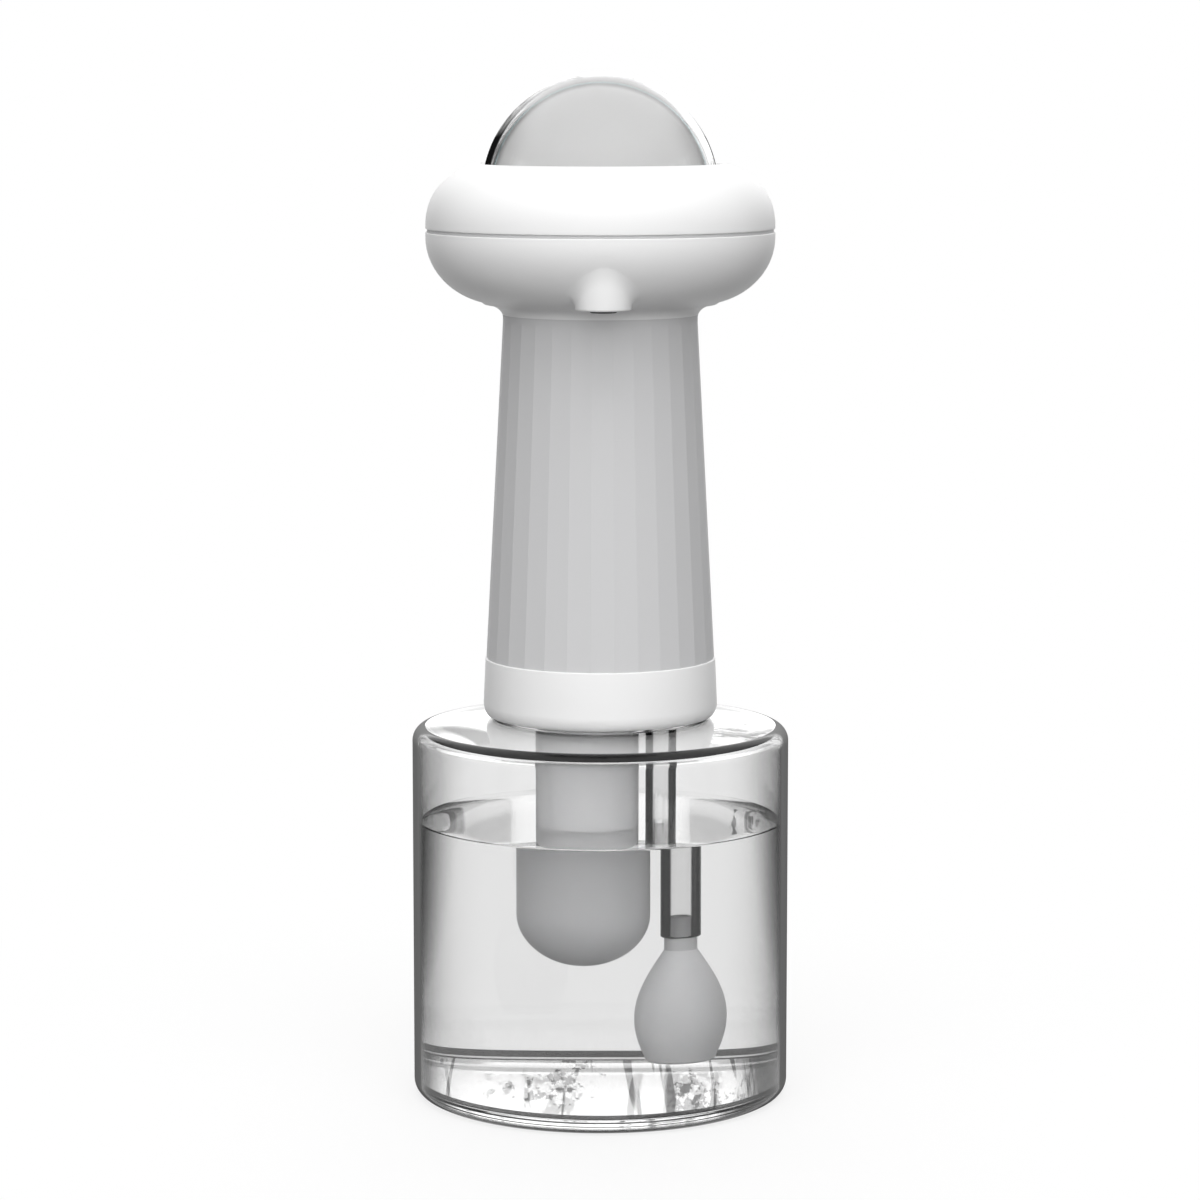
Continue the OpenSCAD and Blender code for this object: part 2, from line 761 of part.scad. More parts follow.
// Round brushed motor
module pump_motor() {
    color("silver")
    translate([-pump_offset, 0, motor_z])
    difference() {
        union() {
            cylinder(r = motor_r, h = motor_l);
            translate([0, 0, motor_l]) cylinder(r = shaft_collar_r, h = housing_floor_t);
        }
        translate([0, 0, motor_l - shaft_down])
            cylinder(r = shaft_r + shaft_gap, h = shaft_down + housing_floor_t + over);
    }
}

// Steel shaft in the motor
module motor_shaft() {
    color("gainsboro")
    translate([-pump_offset, 0, housing_z - shaft_down + shaft_gap])
        cylinder(r = shaft_r, h = eccentric_z - housing_z + shaft_down + shaft_up - shaft_gap);
}

// Eccentric with a leaning pin whose end stays on the motor's axis
module eccentric() {
    lean = atan2(pin_offset, pin_rise + eccentric_h / 2);
    pin_l = norm([pin_offset, pin_rise + eccentric_h / 2]);
    color("white")
    translate([-pump_offset, 0, 0])
    difference() {
        union() {
            translate([0, 0, eccentric_z]) cylinder(r = eccentric_r, h = eccentric_h);
            translate([0, 0, pivot_z]) rotate([0, 180 + lean, 0]) cylinder(r = pin_r, h = pin_l);
        }
        translate([0, 0, eccentric_z - over]) cylinder(r = shaft_r, h = shaft_up + over);
    }
}

// Cup-shaped housing round the eccentric and the swing plate
module pump_housing() {
    color("whitesmoke")
    translate([-pump_offset, 0, housing_z])
    difference() {
        cylinder(r = pump_r, h = housing_h);
        translate([0, 0, housing_floor_t]) cylinder(r = pump_r - housing_wall, h = housing_h);
        translate([0, 0, -over]) cylinder(r = shaft_collar_r + seat_gap, h = housing_floor_t + 2 * over);
    }
}

// Three-armed plate that the leaning pin rocks, one arm under each pump cup
module swing_plate() {
    color("lightgray")
    translate([-pump_offset, 0, plate_z])
    difference() {
        union() {
            for (i = [0:plate_arms - 1])
                rotate([0, 0, i * 360 / plate_arms]) {
                    translate([0, -plate_arm_r, 0]) cube([cup_circle_r, 2 * plate_arm_r, plate_t]);
                    translate([cup_circle_r, 0, 0]) cylinder(r = plate_arm_r, h = plate_t);
                }
            translate([0, 0, -hub_drop]) cylinder(r = hub_r, h = hub_drop + plate_t);
        }
        translate([0, 0, pivot_z - plate_z - hub_r])
            cylinder(r1 = hub_r - plate_t / 2, r2 = pin_r + move_gap, h = hub_r + move_gap);
    }
}

// Rubber diaphragm with three cups that stand on the swing plate
module pump_diaphragm() {
    color("dimgray")
    translate([-pump_offset, 0, diaphragm_z]) {
        cylinder(r = pump_r - seat_gap, h = diaphragm_t);
        for (i = [0:plate_arms - 1])
            rotate([0, 0, i * 360 / plate_arms]) translate([cup_circle_r, 0, -cup_h])
                cylinder(r = cup_r, h = cup_h);
    }
}

// Angles of the pump's ports: soap in towards the hose, foam out away from it
module at_pump_ports() {
    for (s = [-1, 1]) translate([s * pump_port_r, 0, pump_head_t]) children();
}

// Valve block with its two spigots
module pump_head() {
    color("whitesmoke")
    translate([-pump_offset, 0, pump_head_z])
    difference() {
        union() {
            cylinder(r = pump_r, h = pump_head_t);
            at_pump_ports() cylinder(r = spigot_r, h = pump_port_l);
        }
        at_pump_ports()
            translate([0, 0, -pump_head_t / 2])
                cylinder(r = spigot_bore_r, h = pump_head_t / 2 + pump_port_l + over);
        for (i = [0:plate_arms - 1])
            rotate([0, 0, (i + 0.5) * 360 / plate_arms])
                translate([pump_screw_circle_r, 0, -over])
                    cylinder(r = pump_screw_r, h = pump_head_t + 2 * over);
    }
}

// Screws that clamp the pump together, shown down to the diaphragm
module pump_screws() {
    color("silver")
    translate([-pump_offset, 0, pump_head_z + pump_head_t + pump_screw_head_t])
        for (i = [0:plate_arms - 1])
            rotate([0, 0, (i + 0.5) * 360 / plate_arms])
                translate([pump_screw_circle_r, 0, 0])
                    screw(pump_screw_head_r, pump_screw_head_t, pump_screw_r,
                          pump_screw_head_t + pump_head_t);
}

// Soft tube from the fitting up beside the pump, and over to the soap port
module inlet_tube() {
    start_z = pump_head_z;
    ports_z = pump_head_z + pump_head_t;
    color("whitesmoke") {
        soft_tube([[hose_x, 0, start_z],
                   [hose_x, 0, ports_z + pump_port_l + inlet_rise],
                   [-pump_offset + pump_port_r, 0, ports_z + pump_port_l + inlet_rise],
                   [-pump_offset + pump_port_r, 0, ports_z + tube_push]],
                  [0, 0, -tube_push], [0, 0, -tube_push]);
        translate([hose_x, 0, collar_top_z])
            ring(tube_r, tube_bore_r, start_z - tube_push - collar_top_z);
    }
}

// Soft tube from the foam port forward to the cartridge in the spout
module foam_tube() {
    ports_z = pump_head_z + pump_head_t;
    port_y = -spout_reach + cartridge_r + pump_port_l;
    color("whitesmoke")
    soft_tube([[-pump_offset - pump_port_r, 0, ports_z + tube_push],
               [-pump_offset - pump_port_r, 0, ports_z + tube_push + foam_rise],
               [0, port_y + foam_swing, cartridge_port_z],
               [0, port_y, cartridge_port_z]],
              [0, 0, -tube_push], [0, -tube_push, 0]);
}

// Upright board behind the motor
module control_board() {
    color("seagreen") {
        translate([-board_w / 2, board_y, collar_top_z + chassis_t]) cube([board_w, board_t, board_h]);
        translate([-chip_w / 2 - board_w * chip_side_share / 2, board_y + board_t,
                   collar_top_z + chassis_t + board_h / 2])
            cube([chip_w, chip_t, chip_h]);
    }
}

// Metal shell of the charging socket, standing on the board
module charge_socket() {
    color("silver")
    difference() {
        port_oblong(socket_w, socket_h, board_y + board_t, board_y + board_t + socket_l);
        port_oblong(socket_w - 2 * socket_wall, socket_h - 2 * socket_wall,
                    board_y + board_t + socket_wall, board_y + board_t + socket_l + over);
    }
}

// Fixed root of the port's silicone plug
module plug_anchor() {
    color("gainsboro")
    translate([-grip_w / 2 + plug_gap, pad_face_y - plug_t - plug_gap, port_z - plug_h / 2 - anchor_h])
        cube([grip_w - 2 * plug_gap, plug_t + plug_gap, anchor_h - plug_gap]);
}

// Silicone plug that swings down on its root
module port_plug() {
    color("gainsboro") {
        port_oblong(plug_w, plug_h, pad_face_y - plug_t, pad_face_y);
        port_oblong(tongue_w, tongue_h, pad_face_y - plug_t - tongue_t, pad_face_y - plug_t);
        translate([-grip_w / 2, pad_face_y, port_z + plug_h / 2 - 2 * grip_h])
            cube([grip_w, grip_h, grip_h]);
    }
}

// Outline of the bowl: an ellipse from a distance from the axis out to its rim
function bowl_outline(inset, from_r) =
    let (rx = head_r - bowl_flat_r - inset, ry = bowl_belly_z - bowl_low_z - inset)
    concat(arc(bowl_flat_r, bowl_belly_z, rx, ry, -acos((from_r - bowl_flat_r) / rx), 0),
           [[head_r - inset, gasket_z]]);

// Height of the bowl's outer face at a distance from the axis
function bowl_face_z(r) =
    let (share = max(0, min(1, (r - bowl_flat_r) / (head_r - bowl_flat_r))))
    bowl_belly_z - (bowl_belly_z - bowl_low_z) * sqrt(1 - share * share);

// The same at a distance from the spout's axis, in a direction round the spout
function face_by_spout(reach, a) = bowl_face_z(norm([reach * cos(a), reach * sin(a) - spout_reach]));

// One outline of the skirt, as [distance from the spout's axis, height], in a direction round the spout:
// up the spout's wall, round a hollow fillet as large as the wall has room for, and on inside the bowl
function skirt_outline(a) =
    let (wall_r = spout_r - skirt_sink, root_r = spout_r - skirt_root,
         meet_z = face_by_spout(wall_r, a),
         slope = atan2(face_by_spout(wall_r + skirt_slope_step, a) - meet_z, skirt_slope_step),
         turn = quarter - slope,
         room = meet_z - spout_z - spout_edge_r - skirt_foot,
         r = max(skirt_least_r, min(spout_fillet_r, room / tan(turn / 2))),
         start_z = meet_z - r * tan(turn / 2),
         lift = max(0, spout_z + spout_edge_r + skirt_foot - start_z),
         far_r = wall_r + r * tan(turn / 2) * cos(slope),
         arc_points = [for (i = [0:skirt_steps]) let (t = turn * i / skirt_steps)
             [wall_r + r * (1 - cos(t)), start_z + r * sin(t)]],
         tail = [for (s = [0.5, 1]) let (reach = far_r + s * skirt_tail_l * cos(slope))
             [reach, face_by_spout(reach, a) + s * skirt_tail_rise]])
    [for (p = concat([[root_r, start_z]], arc_points, tail,
                     [[root_r, max(face_by_spout(root_r, a), start_z) + skirt_tail_rise]]))
        [p[0], p[1] + lift]];

// Skirt of hollow fillets round the spout, closed inside the bowl's and the spout's walls
module spout_skirt() {
    angles = [for (i = [0:skirt_cols - 1]) 360 * i / skirt_cols];
    outlines = [for (a = angles) skirt_outline(a)];
    n = len(outlines[0]);
    polyhedron(
        points = [for (i = [0:skirt_cols - 1]) for (p = outlines[i])
            [p[0] * cos(angles[i]), p[0] * sin(angles[i]) - spout_reach, p[1]]],
        faces = [for (i = [0:skirt_cols - 1]) for (j = [0:n - 1])
            let (a = i * n + j, b = i * n + (j + 1) % n,
                 c = (i + 1) % skirt_cols * n + (j + 1) % n, d = (i + 1) % skirt_cols * n + j)
            for (face = [[a, b, c], [a, c, d]]) face]);
}

// Posts that carry the head's frame, rooted half-way in the bowl's wall
module frame_posts() {
    root = head_wall / 2;
    intersection() {
        for (a = post_angles)
            rotate([0, 0, a]) translate([post_circle_r, 0, bowl_low_z])
                cylinder(r = post_r, h = frame_z - bowl_low_z);
        rotate_extrude()
            polygon(concat([[0, bowl_low_z + root]], bowl_outline(root, bowl_flat_r), [[0, gasket_z]]));
    }
}

// Bowl of the head with the spout blended in, and four posts for the frame
module lower_shell() {
    fillet_x = column_top_r + bowl_fillet_r;
    inside = bowl_outline(head_wall, bowl_flat_r);
    color("white")
    difference() {
        union() {
            rotate_extrude()
                polygon(concat(
                    [[column_bore_r - spigot_wall, column_top_z], [column_top_r, column_top_z]],
                    arc(fillet_x, bowl_low_z - bowl_fillet_r, bowl_fillet_r, bowl_fillet_r, 180, quarter),
                    bowl_outline(0, fillet_x + bowl_land),
                    [for (i = [len(inside) - 1:-1:0]) inside[i]],
                    [[column_bore_r - spigot_wall, bowl_low_z + head_wall]]));
            translate([0, 0, column_top_z - column_spigot_l])
                ring(column_bore_r - seat_gap, column_bore_r - spigot_wall, column_spigot_l + over);
            translate([0, -spout_reach, spout_z])
                rotate_extrude()
                    polygon(concat(
                        [[0, 0]],
                        arc(spout_r - spout_edge_r, spout_edge_r, spout_edge_r, spout_edge_r, -quarter, 0, 5),
                        [[spout_r, spout_top_z - spout_z], [0, spout_top_z - spout_z]]));
            spout_skirt();
            frame_posts();
        }
        translate([0, -spout_reach, spout_z - over])
            cylinder(r = spout_bore_r, h = spout_top_z - spout_z + 2 * over);
        translate([-tube_r - move_gap, -spout_reach, cartridge_port_z - tube_r - move_gap])
            cube([2 * (tube_r + move_gap), spout_r + over, spout_top_z - cartridge_port_z + tube_r + over]);
        for (a = post_angles)
            rotate([0, 0, a]) translate([post_circle_r, 0, frame_z - frame_screw_l])
                cylinder(r = screw_shank_r, h = frame_screw_l + over);
    }
}

// Mixing chamber in the spout, with a spigot for the foam tube
module foam_cartridge() {
    port_z_up = cartridge_port_z - cartridge_z;
    color("lightgray")
    translate([0, -spout_reach, cartridge_z])
    difference() {
        union() {
            cylinder(r = cartridge_r, h = cartridge_h);
            translate([0, 0, port_z_up]) rotate([-quarter, 0, 0])
                cylinder(r = spigot_r, h = cartridge_r + pump_port_l);
        }
        translate([0, 0, -over]) cylinder(r = cartridge_bore_r, h = cartridge_h - cartridge_roof_t + over);
        translate([0, 0, port_z_up]) rotate([-quarter, 0, 0])
            cylinder(r = spigot_bore_r, h = cartridge_r + pump_port_l + over);
    }
}

// Fine meshes that turn soap and air to foam
module foam_meshes() {
    color("silver")
    for (z = mesh_rises)
        translate([0, -spout_reach, cartridge_z + z]) cylinder(r = cartridge_bore_r, h = mesh_t);
}

// Small dark outlet under the mixing chamber
module nozzle_tip() {
    color("dimgray")
    translate([0, -spout_reach, spout_z])
    difference() {
        union() {
            cylinder(r = cartridge_r, h = tip_h);
            translate([0, 0, -tip_drop]) cylinder(r = tip_r, h = tip_drop);
        }
        translate([0, 0, -tip_drop - over])
            cylinder(r = tip_bore_r, h = tip_h + tip_drop + 2 * over);
    }
}

// Round frame on the bowl's posts, cut away over the spout
module head_frame() {
    color("dimgray")
    translate([0, 0, frame_z])
    difference() {
        cylinder(r = frame_r, h = frame_t);
        translate([0, 0, -over]) cylinder(r = frame_bore_r, h = frame_t + 2 * over);
        translate([0, -spout_reach, -over]) cylinder(r = spout_r, h = frame_t + 2 * over);
        for (a = post_angles)
            rotate([0, 0, a]) translate([post_circle_r, 0, -over])
                cylinder(r = screw_shank_r + seat_gap, h = frame_t + 2 * over);
    }
}

// Four screws down through the frame
module frame_screws() {
    color("silver")
    for (a = post_angles)
        rotate([0, 0, a]) translate([post_circle_r, 0, frame_z + frame_t + screw_head_t])
            screw(screw_head_r, screw_head_t, screw_shank_r,
                  screw_head_t + frame_t + frame_screw_l - screw_tip_gap);
}

// Round board under the dome
module key_board() {
    color("seagreen")
    translate([0, 0, key_board_z]) cylinder(r = key_board_r, h = key_board_t);
}

// Push switch in the middle of the board
module key_switch() {
    color("dimgray")
    translate([-switch_w / 2, -switch_w / 2, key_board_top_z]) cube([switch_w, switch_w, switch_h]);
}

// Ring of lamp chips that light the dome
module lamp_chips() {
    color("lightyellow")
    for (i = [0:lamp_count - 1])
        rotate([0, 0, (i + 0.5) * 360 / lamp_count])
            translate([lamp_circle_r - lamp_w / 2, -lamp_w / 2, key_board_top_z])
                cube([lamp_w, lamp_w, lamp_h]);
}

// Gasket that shows as a fine groove between the head's shells
module head_gasket() {
    color("gray")
    translate([0, 0, gasket_z]) ring(head_r - gasket_inset, tongue_ring_r + seat_gap, gasket_t);
}

// Outline of the upper shell's outside or inside, from its rim to its level top
function crown_outline(inset) =
    rounded_quarter(crown_flat_r, crown_z, head_r - crown_flat_r - inset, crown_h - inset, crown_share);

// Domed upper shell with the sleeve that guides the dome
module upper_shell() {
    outside = [for (p = crown_outline(0)) if (p[0] > sleeve_r + lip_r) p];
    inside = [for (p = crown_outline(head_wall)) if (p[0] > sleeve_out_r) p];
    lip_z = outside[len(outside) - 1][1] - lip_r;
    color("white")
    difference() {
        union() {
            rotate_extrude()
                polygon(concat(
                    outside,
                    arc(sleeve_r + lip_r, lip_z, lip_r, lip_r, quarter, 180),
                    [[sleeve_r, flange_up_z], [sleeve_out_r, flange_up_z],
                     [sleeve_out_r, inside[len(inside) - 1][1]]],
                    [for (i = [len(inside) - 1:-1:0]) inside[i]]));
            translate([0, 0, crown_z - tongue_ring_h])
                ring(tongue_ring_r, tongue_ring_r - tongue_ring_wall, tongue_ring_h + tongue_ring_rise);
            translate([0, 0, crown_z])
                ring(head_r - head_wall + seat_gap, tongue_ring_r - tongue_ring_wall, tongue_ring_rise);
        }
    }
}

// Clear dome with the flange that stops under the sleeve
module dome_cover() {
    color([0.85, 0.9, 0.92, 0.4])
    rotate_extrude()
        polygon(concat(
            arc(0, dome_z, dome_r, dome_r, quarter, 0),
            [[dome_r, flange_up_z], [dome_flange_r, flange_up_z],
             [dome_flange_r, key_plate_z], [dome_inner_r, key_plate_z]],
            arc(0, dome_z, dome_inner_r, dome_inner_r, 0, quarter)));
}

// Frosted inner dome that spreads the light
module dome_diffuser() {
    color("silver")
    rotate_extrude()
        polygon(concat(
            arc(0, dome_z, diffuser_r, diffuser_r, quarter, 0),
            [[diffuser_r, flange_up_z], [diffuser_r - diffuser_wall, flange_up_z]],
            arc(0, dome_z, diffuser_r - diffuser_wall, diffuser_r - diffuser_wall, 0, quarter)));
}

// Plate that closes the dome from below, with windows for the lamps
module key_plate() {
    color("whitesmoke")
    translate([0, 0, key_plate_z])
    difference() {
        cylinder(r = key_plate_r, h = dome_flange_t);
        for (i = [0:key_window_count - 1])
            rotate([0, 0, i * 360 / key_window_count])
                translate([key_window_circle_r, 0, -over])
                    cylinder(r = key_window_r, h = dome_flange_t + 2 * over);
    }
}

// Coil spring between the board and the key plate
module key_spring() {
    low_z = key_board_top_z + spring_wire;
    high_z = key_plate_z - spring_wire;
    steps = spring_turns * spring_steps;
    path = [for (i = [0:steps]) let (a = 360 * i / spring_steps)
        [spring_r * cos(a), spring_r * sin(a), low_z + (high_z - low_z) * i / steps]];
    color("silver") bar_along(path, spring_wire, spring_sides, [0, 0, 1]);
}

tank();
neck_seal();
collar_ring();
bulkhead();
battery_pod();
pod_o_ring();
battery_cell();
battery_contacts();
hose_fitting();
suction_hose();
filter_stem();
filter_bulb();
filter_weight();
column_shell();
chassis();
chassis_screws();
pump_motor();
pump_housing();
swing_plate();
pump_diaphragm();
pump_head();
pump_screws();
inlet_tube();
foam_tube();
control_board();
charge_socket();
plug_anchor();
lower_shell();
foam_cartridge();
foam_meshes();
nozzle_tip();
head_frame();
frame_screws();
key_board();
key_switch();
lamp_chips();
head_gasket();
upper_shell();
dome_cover();
dome_diffuser();
key_plate();
key_spring();
motor_shaft();
eccentric();
port_plug();
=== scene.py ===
"""Looks of a cordless foam machine for bathing pets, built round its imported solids.

Every sub-assembly is a class: it holds its sizes in millimetres, builds its meshes as numpy surfaces in the
solids' own frame (+Z up, spout towards -Y, origin under the tank), and dresses them with its finishes.
"""

import logging
import math
from dataclasses import dataclass, field
from enum import Enum

import bmesh
import bpy
import numpy as np
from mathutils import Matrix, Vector


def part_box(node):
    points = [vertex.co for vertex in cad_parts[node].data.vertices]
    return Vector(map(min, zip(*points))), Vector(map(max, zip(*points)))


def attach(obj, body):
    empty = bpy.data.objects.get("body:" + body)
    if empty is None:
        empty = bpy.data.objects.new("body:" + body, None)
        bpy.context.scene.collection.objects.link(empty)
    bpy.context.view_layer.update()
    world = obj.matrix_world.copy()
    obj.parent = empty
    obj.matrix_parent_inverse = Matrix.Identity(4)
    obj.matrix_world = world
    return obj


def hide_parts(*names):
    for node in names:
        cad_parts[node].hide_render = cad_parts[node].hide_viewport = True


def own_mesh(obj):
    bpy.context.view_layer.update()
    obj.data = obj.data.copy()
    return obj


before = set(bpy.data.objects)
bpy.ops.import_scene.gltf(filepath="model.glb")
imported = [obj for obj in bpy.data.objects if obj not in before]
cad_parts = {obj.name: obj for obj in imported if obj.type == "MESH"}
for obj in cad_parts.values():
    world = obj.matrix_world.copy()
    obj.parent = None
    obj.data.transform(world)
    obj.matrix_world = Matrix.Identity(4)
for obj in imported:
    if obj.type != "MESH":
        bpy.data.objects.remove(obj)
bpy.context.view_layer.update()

LOG = logging.getLogger("foam_machine")
MM = 0.001
TURN = 2 * math.pi


def linear_rgba(hex_colour: str, alpha: float = 1.0) -> tuple[float, float, float, float]:
    """Turns an sRGB hex colour to the linear values that shaders take.

    Args:
        hex_colour: Six hex digits after a hash sign.
        alpha: The fourth value.

    Returns:
        Linear red, green and blue, and alpha.
    """
    srgb = np.array([int(hex_colour[i:i + 2], 16) / 255 for i in (1, 3, 5)])
    linear = np.where(srgb <= 0.04045, srgb / 12.92, ((srgb + 0.055) / 1.055) ** 2.4)
    return (*(float(c) for c in linear), alpha)


def fresh_material(name: str) -> tuple[bpy.types.Material, bpy.types.NodeTree, bpy.types.Node]:
    """Makes an empty node material.

    Args:
        name: The material's name.

    Returns:
        The material, its node tree and its principled shader.
    """
    made = bpy.data.materials.new(name)
    made.use_nodes = True
    return made, made.node_tree, made.node_tree.nodes["Principled BSDF"]


class Grain(Enum):
    """The kinds of fine relief that the pieces' surfaces have."""

    POLISHED = "polished"
    MOULDED = "moulded"
    SINTERED = "sintered"
    BRUSHED = "brushed"


def add_node(tree: bpy.types.NodeTree, kind: str, inputs: dict | None = None,
             links: dict | None = None, **settings: object) -> bpy.types.Node:
    """Adds one shader node with its settings, socket values and links.

    Args:
        tree: The material's or world's node tree.
        kind: Blender's name of the node type.
        inputs: Values for sockets, by name or number.
        links: Output sockets to link from, by the name or number of the input.
        settings: Properties of the node itself.

    Returns:
        The new node.
    """
    node = tree.nodes.new(kind)
    for name, value in settings.items():
        setattr(node, name, value)
    for name, value in (inputs or {}).items():
        node.inputs[name].default_value = value
    for name, source in (links or {}).items():
        tree.links.new(source, node.inputs[name])
    return node


@dataclass(frozen=True)
class Finish:
    """An opaque finish: one colour, a slight drift of tone, and a fine relief.

    grain_mm and cloud_mm are the sizes of the grain and of the drift's clouds, and relief is how deep the grain is, all
    in millimetres. lit is the colour of a painted glow that the piece gives off evenly, if any.
    """

    name: str
    colour: str
    roughness: float
    grain: Grain = Grain.MOULDED
    grain_mm: float = 0.5
    relief: float = 0.02
    drift: float = 0.03
    ior: float = 1.5
    metallic: float = 0.0
    coat: float = 0.0
    lit: str = ""
    cloud_mm: float = 18.0
    brush_ratio: float = 12.0
    gloss_spread: tuple[float, float] = (0.9, 1.12)

    def material(self) -> bpy.types.Material:
        """Builds the node material.

        Returns:
            The material, made once and then shared.
        """
        if self.name in bpy.data.materials:
            return bpy.data.materials[self.name]
        made, tree, shader = fresh_material(self.name)
        shader.inputs["Roughness"].default_value = self.roughness
        shader.inputs["IOR"].default_value = self.ior
        shader.inputs["Metallic"].default_value = self.metallic
        shader.inputs["Coat Weight"].default_value = self.coat
        if self.lit:
            # Painted glow: the piece gives off light evenly on all sides, which flattens its shading
            shader.inputs["Emission Color"].default_value = linear_rgba(self.lit)
            shader.inputs["Emission Strength"].default_value = 1.0
        place = add_node(tree, "ShaderNodeTexCoord").outputs["Object"]
        # Broad, faint drift of tone, as resin and light handling leave on a moulded face
        cloud = add_node(tree, "ShaderNodeTexNoise", {"Scale": 1 / (self.cloud_mm * MM), "Detail": 3.0},
                         {"Vector": place})
        base = linear_rgba(self.colour)[:3]
        tone = add_node(tree, "ShaderNodeMix", data_type="RGBA", links={"Factor": cloud.outputs["Fac"]})
        tone.inputs[6].default_value = (*(c * (1 - self.drift) for c in base), 1.0)
        tone.inputs[7].default_value = (*(min(1.0, c * (1 + self.drift)) for c in base), 1.0)
        tree.links.new(tone.outputs[2], shader.inputs["Base Color"])
        self._add_relief(tree, shader, place)
        return made

    def _add_relief(self, tree: bpy.types.NodeTree, shader: bpy.types.Node, place: bpy.types.NodeSocket) -> None:
        """Adds the grain's bump, and lets it break the gloss a little.

        Args:
            tree: The material's node tree.
            shader: The principled shader.
            place: Object coordinates.
        """
        stretch = (1.0, 1.0, self.brush_ratio if self.grain is Grain.BRUSHED else 1.0)
        spread = add_node(tree, "ShaderNodeMapping", {"Scale": stretch}, {"Vector": place})
        kind, detail, out = (("ShaderNodeTexVoronoi", {}, "Distance") if self.grain is Grain.SINTERED
                             else ("ShaderNodeTexNoise", {"Detail": 2.0}, "Fac"))
        height = add_node(tree, kind, {"Scale": 1 / (self.grain_mm * MM), **detail},
                          {"Vector": spread.outputs[0]}).outputs[out]
        smooth, rough = (min(1.0, self.roughness * part) for part in self.gloss_spread)
        gloss = add_node(tree, "ShaderNodeMapRange", {"To Min": smooth, "To Max": rough}, {"Value": height})
        tree.links.new(gloss.outputs["Result"], shader.inputs["Roughness"])
        bump = add_node(tree, "ShaderNodeBump", {"Strength": 0.5, "Distance": self.relief * MM},
                        {"Height": height})
        tree.links.new(bump.outputs["Normal"], shader.inputs["Normal"])


